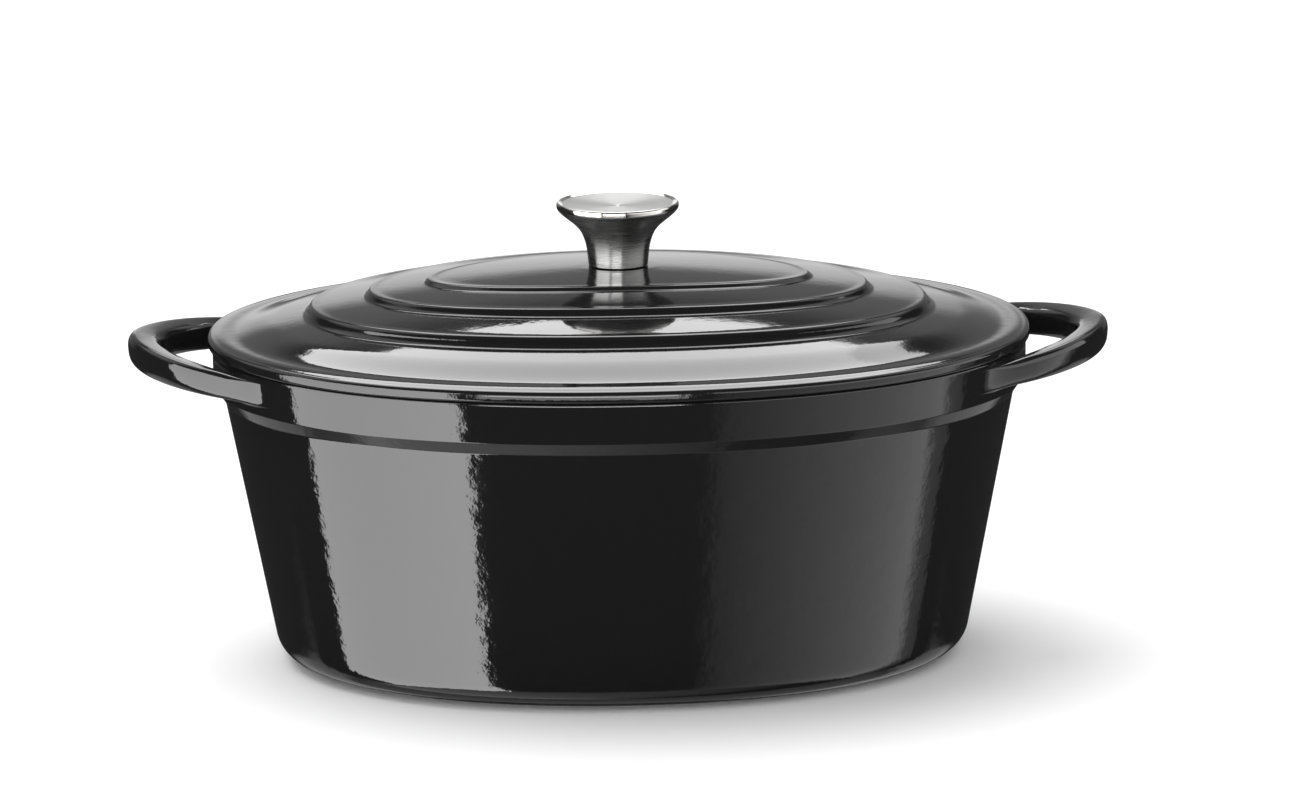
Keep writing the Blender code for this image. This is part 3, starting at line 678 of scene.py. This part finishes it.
def outline(points=POT_POINTS):
    """The two waves that a superellipse's semi-axes multiply, around the oval."""
    turn = np.arange(points) * math.tau / points
    angle = turn - END_CROWDING * np.sin(2 * turn)
    waves = []
    for wave in (np.cos(angle), np.sin(angle)):
        waves.append(np.sign(wave) * np.abs(wave) ** (2 / OVAL_POWER))
    return waves


def oval_level(x, y, inset):
    across = np.abs(x / (HALF_LENGTH - inset)) ** OVAL_POWER
    along = np.abs(y / (HALF_WIDTH - inset)) ** OVAL_POWER
    return (across + along) ** (1 / OVAL_POWER)


def outside_pot(x, y, inset):
    """Roughly the distance outside the band and its handles, softly joined where they meet."""
    along = np.abs((np.abs(x) - HANDLE_CENTRE) / (HALF_LENGTH + HANDLE_REACH - HANDLE_CENTRE))
    across = np.abs(y / HANDLE_HALF_SPREAD)
    handle = (along**HANDLE_POWER + across**HANDLE_POWER) ** (1 / HANDLE_POWER)
    from_oval = (oval_level(x, y, inset) - 1) * HALF_WIDTH
    from_handle = (handle - 1) * HANDLE_HALF_SPREAD
    overlap = np.maximum(HANDLE_BLEND - np.abs(from_oval - from_handle), 0) / HANDLE_BLEND
    return np.minimum(from_oval, from_handle) - overlap**2 * HANDLE_BLEND / 4


def band_inset(height):
    return BAND_INSET + BAND_DRAFT * (POT_HEIGHT - height) / BAND_HEIGHT


def band_radius(direction, inset):
    return 1 / oval_level(np.cos(direction), np.sin(direction), inset)


def handle_extension(direction):
    """How far the handles pass the band's oval along each ray from the middle."""
    inset = band_inset(HANDLE_BOTTOM)
    oval = band_radius(direction, inset)
    low, high = oval, oval + 1.5 * HANDLE_REACH
    for _ in range(30):
        middle = (low + high) / 2
        inside = outside_pot(middle * np.cos(direction), middle * np.sin(direction), inset) < 0
        low = np.where(inside, middle, low)
        high = np.where(inside, high, middle)
    return (low + high) / 2 - oval


def handle_rise(past, height):
    climbed = np.maximum(0, (height - HANDLE_BOTTOM) / HANDLE_DEPTH)
    return past * (HANDLE_RISE + HANDLE_SWELL * climbed)


print("handle reach at its tip, mm:", round(float(handle_extension(np.zeros(1))[0] / MM), 1))

# %% [markdown]
# ## The pot's rings
# From the foot out, up the wall, over the step and the band, each ring is a plain oval. Between the
# band and the rim the rings are drawn out sideways, under, round and over the two handles. Then come
# the rim, its matt ledge, and the sand-coloured inside down to the floor.

# %% The rings that the handles are drawn out of
def handle_section(past):
    """Rows of (distance past the band, height) arrays: under the handle, round it, and over it."""
    edge = np.minimum(HANDLE_ROUNDING, 0.45 * past)
    root = np.minimum(3 * MM, 0.3 * past)
    crown = HANDLE_CROWN * np.minimum(1, past / HANDLE_BAR)
    lower = np.full_like(past, HANDLE_BOTTOM)
    upper = np.full_like(past, HANDLE_TOP)
    rows = []
    for a in np.linspace(0, math.pi / 2, 7):
        rows.append((root * (1 - math.cos(a)), lower - 1.4 * MM * (1 - math.sin(a))))
    for share in (0.25, 0.5, 0.75):
        rows.append((root + (past - edge - root) * share, lower))
    for a in np.linspace(0, math.pi / 2, 9):
        rows.append((past - edge + edge * math.sin(a), lower + HANDLE_ROUNDING * (1 - math.cos(a))))
    rows.append((past, (lower + upper) / 2 + 0.3 * MM))
    for a in np.linspace(0, math.pi / 2, 9):
        top = upper + crown * math.sin(a)
        rows.append((past - edge * (1 - math.cos(a)), top - HANDLE_ROUNDING * (1 - math.sin(a))))
    for share in (0.8, 0.6, 0.4, 0.2):
        ease = share * (2 - share)
        rows.append((0.4 * root + (past - edge - 0.4 * root) * share, upper + crown * ease))
    for a in np.linspace(0, math.pi / 2, 5):
        rows.append((0.4 * root * (1 - math.sin(a)), upper + 0.8 * MM * (1 - math.cos(a))))
    return rows


def pot_rings():
    """(x, y, z, coat) arrays, one for each ring, from the foot out, up, over the rim and down."""
    across, along = outline()
    rings = []

    def ring(inset, height, coat, shrink=1.0):
        x = (HALF_LENGTH - inset) * across * shrink
        y = (HALF_WIDTH - inset) * along * shrink
        rings.append((x, y, np.full(POT_POINTS, height), coat))

    pad_inset = BASE_INSET + FOOT_SETBACK + 0.4 * MM
    for shrink in (0.02, 0.2, 0.4, 0.6, 0.8, 0.95):
        ring(pad_inset, 0, MATT, shrink)
    below = rounded_profile(
        [
            (pad_inset, 0, 0),
            (BASE_INSET + FOOT_SETBACK, FOOT_HEIGHT, 0.4 * MM),
            (BASE_INSET, FOOT_HEIGHT, 12 * MM),
            (WALL_TOP_INSET, WALL_TOP, 2 * MM),
            (BAND_INSET + BAND_DRAFT, BAND_BOTTOM, 1.2 * MM),
            (band_inset(BAND_BOTTOM + 1.4 * MM), BAND_BOTTOM + 1.4 * MM, 0),
        ],
        9,
    )
    for inset, height in filled(below, 6 * MM):
        ring(inset, height, BLACK)

    root_inset = band_inset(HANDLE_BOTTOM)
    direction = np.arctan2((HALF_WIDTH - root_inset) * along, (HALF_LENGTH - root_inset) * across)
    past_band = handle_extension(direction)
    for past, height in handle_section(past_band):
        inset = band_inset(height)
        x = (HALF_LENGTH - inset) * across + past * np.cos(direction)
        y = (HALF_WIDTH - inset) * along + past * np.sin(direction)
        rings.append((x, y, height + handle_rise(past, height), BLACK))

    rim = rounded_profile(
        [
            (band_inset(POT_HEIGHT - 1.8 * MM), POT_HEIGHT - 1.8 * MM, 0),
            (BAND_INSET, POT_HEIGHT, RIM_RADIUS),
            (BAND_INSET + 2 * MM, POT_HEIGHT, 0),
        ]
    )
    for inset, height in rim:
        ring(inset, height, BLACK)
    ledge = rounded_profile(
        [
            (BAND_INSET + 2.2 * MM, POT_HEIGHT, 0),
            (RIM_INNER_INSET, POT_HEIGHT, 0.8 * MM),
            (RIM_INNER_INSET + 0.15 * MM, POT_HEIGHT - 4 * MM, 0),
        ]
    )
    for inset, height in ledge:
        ring(inset, height, MATT)
    floor_inset = BASE_INSET + WALL + 1.5 * FLOOR_FILLET
    inside = rounded_profile(
        [
            (RIM_INNER_INSET + 0.18 * MM, POT_HEIGHT - 4.4 * MM, 0),
            (RIM_INNER_INSET + 0.6 * MM, BAND_BOTTOM, 6 * MM),
            (WALL_TOP_INSET + WALL, WALL_TOP - 3 * MM, 6 * MM),
            (BASE_INSET + WALL, FLOOR_THICKNESS, FLOOR_FILLET),
            (floor_inset, FLOOR_THICKNESS, 0),
        ],
        9,
    )
    for inset, height in filled(inside, 6 * MM):
        ring(inset, height, SAND)
    for shrink in (0.85, 0.7, 0.55, 0.4, 0.2, 0.02):
        ring(floor_inset, FLOOR_THICKNESS, SAND, shrink)
    return rings


print("rings of the pot:", len(pot_rings()))

# %% [markdown]
# ## Skinning and the finger openings
# Rings with equal point counts are joined by strips of quads and capped at both ends. The openings
# are skinned in the same way, flared at both faces so that a cut leaves a rounded edge, and then
# taken out of the pot with a Boolean.

# %% Skin the rings
def skinned(name, rings, finishes):
    """A closed mesh over rings of equal point counts. A strip has the coat of its first ring."""
    count = len(rings[0][0])
    points = np.concatenate([np.stack(ring[:3], axis=1) for ring in rings])
    here = np.arange(count)
    after = (here + 1) % count
    faces, coats = [], []
    for number, ring in enumerate(rings[:-1]):
        low, high = number * count, (number + 1) * count
        faces += np.stack([low + here, low + after, high + after, high + here], axis=1).tolist()
        coats += [max(ring[3], rings[number + 1][3]) if number else ring[3]] * count
    faces.append(list(range(count - 1, -1, -1)))
    faces.append([(len(rings) - 1) * count + k for k in range(count)])
    coats += [rings[0][3], rings[-1][3]]
    mesh = bpy.data.meshes.new(name)
    mesh.from_pydata(points.tolist(), [], faces)
    for material in finishes:
        mesh.materials.append(material)
    mesh.polygons.foreach_set("material_index", coats)
    mesh.shade_smooth()
    facing_out(mesh)
    piece = bpy.data.objects.new(name, mesh)
    bpy.context.scene.collection.objects.link(piece)
    return piece


def finger_opening(name, side):
    """The cutter of a finger opening: a bean along the wall, flared at both faces of the handle."""
    rounding = 0.9 * HANDLE_ROUNDING
    flared = [(-3 * MM, 2.6 * rounding), (-1 * MM, 1.5 * rounding)]
    for share in np.linspace(0, 1, 9):
        flared.append((share * rounding, rounding * (1 - math.sqrt(1 - (1 - share) ** 2))))
    levels = [(HANDLE_BOTTOM + depth, flare) for depth, flare in flared]
    levels += [(HANDLE_TOP + HANDLE_CROWN - depth, flare) for depth, flare in reversed(flared)]
    turn = -np.arange(96) * math.tau / 96
    power = 2 / FINGER_POWER
    along = np.sign(np.cos(turn)) * np.abs(np.cos(turn)) ** power
    across = np.sign(np.sin(turn)) * np.abs(np.sin(turn)) ** power
    outer_side = HALF_LENGTH + HANDLE_REACH - HANDLE_BAR
    rings = []
    for height, flare in levels:
        direction = (FINGER_HALF_ANGLE + flare / outer_side) * along
        band = band_radius(direction, band_inset(HANDLE_BOTTOM))
        wall = band + 0.8 * MM
        half = np.maximum(band + handle_extension(direction) - HANDLE_BAR - wall, 5 * MM) / 2
        radius = wall + half + across * (half + np.where(across > 0, flare, 0))
        z = height + handle_rise(radius - band, height)
        reach = side * radius
        rings.append((reach * np.cos(direction), reach * np.sin(direction), z, BLACK))
    return skinned(name, rings, [])


def applied(piece):
    """The piece with its modifiers' result as its mesh, and no modifiers left."""
    depsgraph = bpy.context.evaluated_depsgraph_get()
    mesh = bpy.data.meshes.new_from_object(piece.evaluated_get(depsgraph), depsgraph=depsgraph)
    piece.modifiers.clear()
    piece.data = mesh
    return piece


def cut(piece, cutters):
    for cutter in cutters:
        boolean = piece.modifiers.new("cut by " + cutter.name, "BOOLEAN")
        boolean.operation = "DIFFERENCE"
        boolean.object = cutter
    applied(piece)
    for cutter in cutters:
        bpy.data.objects.remove(cutter)
    return piece


pot_casting = skinned("pot_casting", pot_rings(), (enamel_black, ground, sand))
cut(pot_casting, [finger_opening("finger_opening_right", 1),
                  finger_opening("finger_opening_left", -1)])
pot_casting.data.shade_smooth()
print("pot_casting:", len(pot_casting.data.polygons), "faces")

# %% [markdown]
# ## The knob
# The knob's shell is spun from sheet: a foot turned in, a stem that flares like a tulip, and a lip
# rolled over a dished disc. It is round, so its rows have no oval share, only a radius. The profile
# of a closed ring ends where it began, and a profile that starts and ends on the axis closes there.

# %% Knob shell and disc
KNOB_BOTTOM = stem_low.z
KNOB_HEIGHT = stem_high.z - stem_low.z
KNOB_RADIUS = stem_high.x
KNOB_BASE_RADIUS = 12.0 * MM
LIP_HEIGHT = 3.4 * MM
LIP_WIDTH = 2.4 * MM
LIP_BAND = 1.9 * MM
SWEEP_FOOT = 0.58
KNOB_SHEET = 1.7 * MM
DISH_SAG = 1.2 * MM
DISC_LEDGE = KNOB_HEIGHT - 3.0 * MM - 1.3 * MM
BUFFED_BAND = 2.6 * MM
SKIRT = 0.9 * MM
FOOT_HOLE = 5.6 * MM
DISC_RIM = KNOB_HEIGHT - 0.6 * MM
DISC_SEAM = 0.06 * MM


def round_rows(points, lift=0.0, coat=BLACK, closed=False):
    rows = [(0, 0, z + lift, radius, 0, coat) for radius, z in points]
    return rows + rows[:1] if closed else rows


def flare_radius(height):
    share = height / (KNOB_HEIGHT - LIP_HEIGHT)
    taper = 1.9 * MM
    flare = KNOB_RADIUS - 1.2 * MM - KNOB_BASE_RADIUS - taper
    return KNOB_BASE_RADIUS + taper * share + flare * share**3.2


def lip_sweep(foot, steps=20):
    """The underside of the lip: one cubic curve from its widest point, where it hangs straight
    down, to the flare at the foot's height, which it meets at the flare's own slope."""
    start = np.array([KNOB_RADIUS, KNOB_HEIGHT - LIP_BAND])
    end = np.array([flare_radius(foot), foot])
    below = np.array([flare_radius(foot - 0.1 * MM), foot - 0.1 * MM])
    reach = np.linalg.norm(end - start)
    leaving = np.array([0.0, -0.55 * reach])
    arriving = (below - end) / np.linalg.norm(below - end) * reach
    points = []
    for t in np.linspace(0, 1, steps + 1)[1:]:
        rising = t * t * (3 - 2 * t)
        place = start * (1 - rising) + end * rising
        place = place + leaving * (t * (1 - t) ** 2) - arriving * (t * t * (1 - t))
        points.append((float(place[0]), float(place[1])))
    return points


def knob_shell_rows():
    neck = KNOB_HEIGHT - LIP_HEIGHT
    seat_radius = KNOB_RADIUS - LIP_WIDTH
    lip = rounded_profile(
        [
            (seat_radius, DISC_RIM - 0.25 * MM, 0),
            (seat_radius, DISC_RIM + 0.02 * MM, 0.1 * MM),
            (KNOB_RADIUS - 0.5 * MM, KNOB_HEIGHT, 0.6 * MM),
            (KNOB_RADIUS, KNOB_HEIGHT - 0.7 * MM, 0.9 * MM),
            (KNOB_RADIUS, KNOB_HEIGHT - LIP_BAND, 0),
        ],
        8,
    )
    outside = lip_sweep(SWEEP_FOOT * neck)
    outside += [(flare_radius(neck * share), neck * share)
                for share in np.linspace(SWEEP_FOOT - 0.03, 0.08, 20)]
    foot = rounded_profile(
        [
            (flare_radius(1.5 * MM), 1.5 * MM, 0),
            (KNOB_BASE_RADIUS - 0.08 * MM, -SKIRT, 0.3 * MM),
            (11.0 * MM, -SKIRT, 0.2 * MM),
            (10.9 * MM, 0, 0.2 * MM),
            (FOOT_HOLE, 0, 0.3 * MM),
            (FOOT_HOLE, KNOB_SHEET, 0),
            (KNOB_BASE_RADIUS - KNOB_SHEET, KNOB_SHEET, 0.6 * MM),
            (flare_radius(2.5 * MM) - KNOB_SHEET, 2.5 * MM, 0),
        ]
    )
    inside = [(flare_radius(neck * share) - KNOB_SHEET, neck * share)
              for share in np.linspace(0.15, 0.8, 14)]
    inside += [(seat_radius - 2.2 * MM, DISC_LEDGE - 2.2 * MM),
               (seat_radius - 2.2 * MM, DISC_LEDGE)]
    inside.append((seat_radius, DISC_LEDGE))
    buffed = [point for point in lip if point[1] > KNOB_HEIGHT - BUFFED_BAND]
    brushed_part = lip[len(buffed):] + outside + foot + inside
    return round_rows(buffed, KNOB_BOTTOM, coat=1) + round_rows(brushed_part, KNOB_BOTTOM)


def disc_profile():
    radius = KNOB_RADIUS - LIP_WIDTH - DISC_SEAM
    underside = DISC_LEDGE + CLEARANCE
    bottom = DISC_RIM - DISH_SAG * (1 - 0.1**2)
    pip = [(0, bottom - 0.5 * MM), (0.5 * MM, bottom - 0.47 * MM), (0.9 * MM, bottom - 0.36 * MM),
           (1.3 * MM, bottom - 0.14 * MM), (1.7 * MM, bottom - 0.03 * MM)]
    dish = [(radius * share, DISC_RIM - DISH_SAG * (1 - share**2))
            for share in np.linspace(0.1, 1, 24)]
    chamfer = [(radius, underside + 0.3 * MM), (radius - 0.3 * MM, underside), (0, underside)]
    return pip + dish + chamfer


shell_rows = knob_shell_rows()
knob_shell = lathe("knob_shell", shell_rows + shell_rows[:1], (brushed, polished), 160)
knob_disc = lathe("knob_disc", round_rows(disc_profile(), KNOB_BOTTOM), (spun,), 160)

# %% [markdown]
# ## The fastening
# Under the knob sits a thin silicone seal. A threaded insert is held in the knob's foot, and from
# inside the lid a cross-head screw pulls it down over a plain washer and a split spring washer.
# The turned pieces come off the same lathe, and the split and the cross are cut afterwards.

# %% Seal, insert, washers and screw
seal_low, seal_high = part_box("knob_gasket")
insert_low, insert_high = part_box("knob_insert")
washer_low, washer_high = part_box("flat_washer")
spring_low, spring_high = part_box("spring_washer")
screw_low, screw_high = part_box("knob_screw")
SCREW_RADIUS = 3.0 * MM
BORE = SCREW_RADIUS + CLEARANCE
HEAD_HEIGHT = 3.8 * MM
SPLIT_GAP = 1.3 * MM
SPLIT_LEAN = 25


def block(name, size, centre, turn):
    """A tapered block to cut with, narrower at its top, as a punch is."""
    bm = bmesh.new()
    bmesh.ops.create_cube(bm, size=1.0)
    for vertex in bm.verts:
        if vertex.co.z > 0:
            vertex.co.x *= 0.7
    mesh = bpy.data.meshes.new(name)
    bm.to_mesh(mesh)
    bm.free()
    lean = Matrix.Rotation(math.radians(turn[1]), 4, "Y")
    turned = lean @ Matrix.Rotation(math.radians(turn[2]), 4, "Z")
    scaled = Matrix.Diagonal((*size, 1.0))
    mesh.transform(Matrix.Translation(centre) @ turned @ scaled)
    cutter = bpy.data.objects.new(name, mesh)
    bpy.context.scene.collection.objects.link(cutter)
    return cutter


def ring_profile(inner, outer, bottom, top, bevel):
    """A washer's section with its corners broken, running down its outside."""
    corners = [(inner, (top + bottom) / 2, 0), (inner, top, bevel), (outer, top, bevel),
               (outer, bottom, bevel), (inner, bottom, bevel), (inner, (top + bottom) / 2, 0)]
    return rounded_profile(corners, 3)[:-1]


knob_seal = lathe("knob_seal", round_rows(
    ring_profile(HOLE_RADIUS, seal_high.x, seal_low.z, seal_high.z, 0.2 * MM), closed=True),
    (silicone,), 96)
plain_washer = lathe("plain_washer", round_rows(
    ring_profile(BORE, washer_high.x, washer_low.z, washer_high.z, 0.25 * MM), closed=True),
    (plain,), 96)
split_washer = lathe("split_washer", round_rows(
    ring_profile(BORE, spring_high.x, spring_low.z, spring_high.z, 0.15 * MM), closed=True),
    (plain,), 96)
middle = (spring_low.z + spring_high.z) / 2
cut(split_washer, [block("split", (SPLIT_GAP, 2 * spring_high.x, 4.5 * MM),
                         (0, spring_high.x, middle), (0, SPLIT_LEAN, 0))])

neck, flange = 5.3 * MM, 2.0 * MM
insert_profile = rounded_profile(
    [
        (0, insert_high.z, 0),
        (insert_high.x, insert_high.z, 0.8 * MM),
        (insert_high.x, KNOB_BOTTOM + flange, 0.3 * MM),
        (neck, KNOB_BOTTOM + flange, 0),
        (neck, insert_low.z, 0.2 * MM),
        (BORE, insert_low.z, 0.4 * MM),
        (BORE, KNOB_BOTTOM + 10.5 * MM, 0),
        (0, KNOB_BOTTOM + 11.3 * MM, 0),
    ],
    4,
)
knob_nut = lathe("knob_nut", round_rows(insert_profile), (plain,), 96)

head_top = screw_low.z + HEAD_HEIGHT
screw_profile = rounded_profile(
    [
        (0, screw_high.z, 0),
        (SCREW_RADIUS, screw_high.z, 0.5 * MM),
        (SCREW_RADIUS, head_top, 0.2 * MM),
        (screw_high.x, head_top, 0.2 * MM),
        (screw_high.x, screw_low.z, 2.2 * MM),
        (0, screw_low.z, 0),
    ],
    6,
)
lid_screw = lathe("lid_screw", round_rows(filled(screw_profile, 1 * MM)), (plain,), 96)
recess = (1.15 * screw_high.x, 1.1 * MM, 4.4 * MM)
cut(lid_screw, [block(f"recess_{angle}", recess, (0, 0, screw_low.z), (0, 0, angle))
                for angle in (45, 135)])
print("fastening: 5 pieces")

# %% [markdown]
# ## Edges and places
# The lathe shades everything smooth. That is right for poured enamel, but a stamped washer has real
# corners, so on the small pieces an edge sharper than 35 degrees is kept sharp. Then each piece is
# told which body it moves with, and the imported piece that it stands for is hidden.

# %% Sharp corners, bodies and imported pieces
for piece in (knob_shell, knob_disc, knob_seal, plain_washer, split_washer, knob_nut, lid_screw):
    piece.data.set_sharp_from_angle(angle=math.radians(35))

for piece, node, body, slot in (
    (pot_casting, "pot_body", "pot", "pot_enamel"),
    (lid_casting, "lid", "lid", "lid_enamel"),
    (knob_shell, "knob_stem", "lid", "knob_steel"),
    (knob_disc, "knob_cap", "lid", "cap_steel"),
    (knob_seal, "knob_gasket", "lid", "seat_rubber"),
    (knob_nut, "knob_insert", "lid", "fastener_steel"),
    (plain_washer, "flat_washer", "lid", "fastener_steel"),
    (split_washer, "spring_washer", "lid", "fastener_steel"),
    (lid_screw, "knob_screw", "lid", "fastener_steel"),
):
    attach(piece, body)
    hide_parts(node)
    print(piece.name, "rides on", body, "and stands for", node)

# %% [markdown]
# ## Floor and light
# A black gloss pot is drawn by what it mirrors, so the studio matters more than the paint. A tall
# bright softbox stands on the left, a dim sheet on the right, and a wide softbox hangs overhead
# behind the pot, where the lid finds it. Between them the studio is black. They are painted on the
# world's sphere by direction, because the pot is small beside a studio, and only mirrored light
# sees them. Plain white light and one wide lamp, high and to the left, light the floor.

# %% The world: softboxes by azimuth and elevation
def softbox(tree, azimuth, elevation, sides, heights, glow, soft=2.0):
    """Light from one panel: bright inside its sides and heights in degrees, with soft edges. The
    glow runs evenly from its first value at the first side to its second at the other."""
    shade = add(tree, "ShaderNodeMapRange",
                {"Value": azimuth, "From Min": sides[0], "From Max": sides[1],
                 "To Min": glow[0], "To Max": glow[1]})
    for value, (low, high) in ((azimuth, sides), (elevation, heights)):
        for edge, way in ((low, 1), (high, -1)):
            step = add(tree, "ShaderNodeMapRange",
                       {"Value": value, "From Min": edge - way * soft, "From Max": edge + way * soft},
                       interpolation_type="SMOOTHSTEP")
            shade = add(tree, "ShaderNodeMath", {0: shade, 1: step}, operation="MULTIPLY")
    return shade


def overhead(tree, direction, sides, depths, glow):
    """Light from a level panel overhead: its sides and depths are x / z and y / z of a ray."""
    x, y, z = direction
    height = add(tree, "ShaderNodeMath", {0: z, 1: 0.001}, operation="MAXIMUM")
    shade = glow
    for value, (low, high) in ((x, sides), (y, depths)):
        slope = add(tree, "ShaderNodeMath", {0: value, 1: height}, operation="DIVIDE")
        for edge, way in ((low, 1), (high, -1)):
            step = add(tree, "ShaderNodeMapRange",
                       {"Value": slope, "From Min": edge - way * 0.008, "From Max": edge + way * 0.008},
                       interpolation_type="SMOOTHSTEP")
            shade = add(tree, "ShaderNodeMath", {0: shade, 1: step}, operation="MULTIPLY")
    return shade


# Each panel's name, sides round from the front or from the back, heights, glow at each side, softness
SOFTBOXES = (
    ("tall panel on the left", "round", (-92, -34), (-56, 30), (4.8, 6.6), 1.0),
    ("dim sheet on the right", "round", (19, 90), (-56, 4), (0.2, 1.7), 3.0),
    ("the sheet's brighter top", "round", (17, 110), (4, 28), (2.0, 2.0), 2.0),
    ("the sheet's far edge", "round", (90, 99), (-56, 4), (0.5, 0.25), 1.0),
    ("front panel", "round", (-29, 12), (-15, 24), (3.2, 3.2), 1.5),
    ("strip light in front", "round", (-26, 10), (-3, 3), (15.0, 15.0), 1.5),
    ("backdrop near the floor", "behind", (171, 200), (1, 13), (0.85, 0.85), 3.0),
    ("faint backdrop", "behind", (140, 200), (-4, 26), (0.12, 0.4), 5.0),
    ("floor to the sides", "behind", (112, 172), (-48, -28), (0.5, 0.5), 3.0),
    ("high fill at the sides", "behind", (96, 152), (28, 64), (0.9, 0.9), 8.0),
    ("floor in front", "round", (-110, 60), (-95, -56), (1.0, 0.12), 5.0),
    ("floor behind", "behind", (100, 200), (-95, -50), (0.25, 0.25), 5.0),
)
OVERHEADS = (((-0.37, 0.31), (0.35, 1.80), 4.3), ((0.31, 0.41), (0.35, 1.80), 3.3))
STUDIO_DARK = 0.03


def studio():
    world = bpy.data.worlds.new("studio")
    bpy.context.scene.world = world
    world.use_nodes = True
    world.cycles.sampling_method = "NONE"
    tree = world.node_tree
    tree.nodes.clear()
    direction = add(tree, "ShaderNodeSeparateXYZ",
                    {0: add(tree, "ShaderNodeTexCoord").outputs["Generated"]}).outputs
    toward = add(tree, "ShaderNodeMath", {0: direction[1], 1: -1.0}, operation="MULTIPLY")
    azimuth = add(tree, "ShaderNodeMath", {0: direction[0], 1: toward}, operation="ARCTAN2")
    azimuth = add(tree, "ShaderNodeMath", {0: azimuth}, operation="DEGREES")
    elevation = add(tree, "ShaderNodeMath", {0: direction[2]}, operation="ARCSINE")
    elevation = add(tree, "ShaderNodeMath", {0: elevation}, operation="DEGREES")
    behind = add(tree, "ShaderNodeMath", {0: azimuth}, operation="ABSOLUTE")
    around = {"round": azimuth, "behind": behind}
    panels = [softbox(tree, around[way], elevation, *shape) for name, way, *shape in SOFTBOXES]
    panels += [overhead(tree, direction, *shape) for shape in OVERHEADS]
    light = panels[0]
    for panel in panels[1:]:
        light = add(tree, "ShaderNodeMath", {0: light, 1: panel}, operation="ADD")
    light = add(tree, "ShaderNodeMath", {0: light, 1: STUDIO_DARK}, operation="ADD")
    mirrored = add(tree, "ShaderNodeBackground", {"Color": colour("#ffffff"), "Strength": light})
    white = add(tree, "ShaderNodeBackground", {"Color": colour("#ffffff"), "Strength": 0.9})
    backdrop = add(tree, "ShaderNodeBackground", {"Color": colour("#ffffff"), "Strength": 1.0})
    path = add(tree, "ShaderNodeLightPath").outputs
    seen = add(tree, "ShaderNodeMixShader",
               {0: path["Is Glossy Ray"], 1: white.outputs[0], 2: mirrored.outputs[0]})
    seen = add(tree, "ShaderNodeMixShader",
               {0: path["Is Camera Ray"], 1: seen.outputs[0], 2: backdrop.outputs[0]})
    add(tree, "ShaderNodeOutputWorld", {"Surface": seen.outputs[0]})
    print("studio:", len(panels), "panels,", len(tree.nodes), "nodes")


studio()

# %% [markdown]
# ## Lamp and floor
# The lamp is a sun with a disc of 50 degrees, as wide as a big window, so its shadow is soft. The
# floor is matt white paper. Neither is mirrored in the enamel, where the panels stand instead.

# %% Lamp and floor
def lamp():
    sun = bpy.data.lights.new("wide lamp", "SUN")
    sun.energy = 1.9
    sun.angle = math.radians(50)
    place = bpy.data.objects.new("wide lamp", sun)
    place.rotation_euler = Vector((-0.28, 0.2, 1.0)).to_track_quat("Z", "Y").to_euler()
    place.visible_glossy = False
    bpy.context.scene.collection.objects.link(place)


def floor():
    bpy.ops.mesh.primitive_circle_add(vertices=96, radius=12.0, fill_type="NGON")
    sheet = bpy.context.object
    sheet.name = "studio_floor"
    sheet.location.z = -0.1 * MM
    material, tree, shader = finish("matt white studio paper", "#f9f9f9", 0.9)
    place = add(tree, "ShaderNodeTexCoord").outputs["Object"]
    fibre = add(tree, "ShaderNodeTexNoise", {"Vector": place, "Scale": per_mm(1.5), "Detail": 3.0})
    bump_chain(tree, shader, [(fibre, 0.02)])
    sheet.data.materials.append(material)
    sheet.visible_glossy = False
    sheet.visible_shadow = False


lamp()
floor()
print("lamp and floor in place")

# %% [markdown]
# ## The camera
# A long lens from just over two metres keeps the ovals calm, as in a catalogue. The camera looks a
# little down on the lid and hardly at all from the side.

# %% Camera
DISTANCE = 2.2
LOOK_DOWN = math.radians(12.8)
LOOK_ROUND = math.radians(-2.04)
ROLL = math.radians(0.65)
AIM = Vector((12.1 * MM, 0, 102.9 * MM))
FOCAL_LENGTH = 151.1


def camera():
    back = Vector((0, -math.cos(LOOK_DOWN), math.sin(LOOK_DOWN)))
    right = Vector((1, 0, 0))
    up = Vector((0, math.sin(LOOK_DOWN), math.cos(LOOK_DOWN)))
    tilted_right = right * math.cos(ROLL) - up * math.sin(ROLL)
    tilted_up = up * math.cos(ROLL) + right * math.sin(ROLL)
    place = Matrix((tilted_right, tilted_up, back)).transposed().to_4x4()
    place.translation = AIM + back * DISTANCE
    lens = bpy.data.cameras.new("catalogue camera")
    lens.sensor_width = 36
    lens.lens = FOCAL_LENGTH
    lens.clip_end = 50
    viewer = bpy.data.objects.new("catalogue camera", lens)
    bpy.context.scene.collection.objects.link(viewer)
    viewer.matrix_world = Matrix.Rotation(LOOK_ROUND, 4, "Z") @ place
    bpy.context.scene.camera = viewer


camera()
bpy.context.scene.view_settings.view_transform = "Standard"
print("camera", [round(value, 3) for value in bpy.context.scene.camera.location])
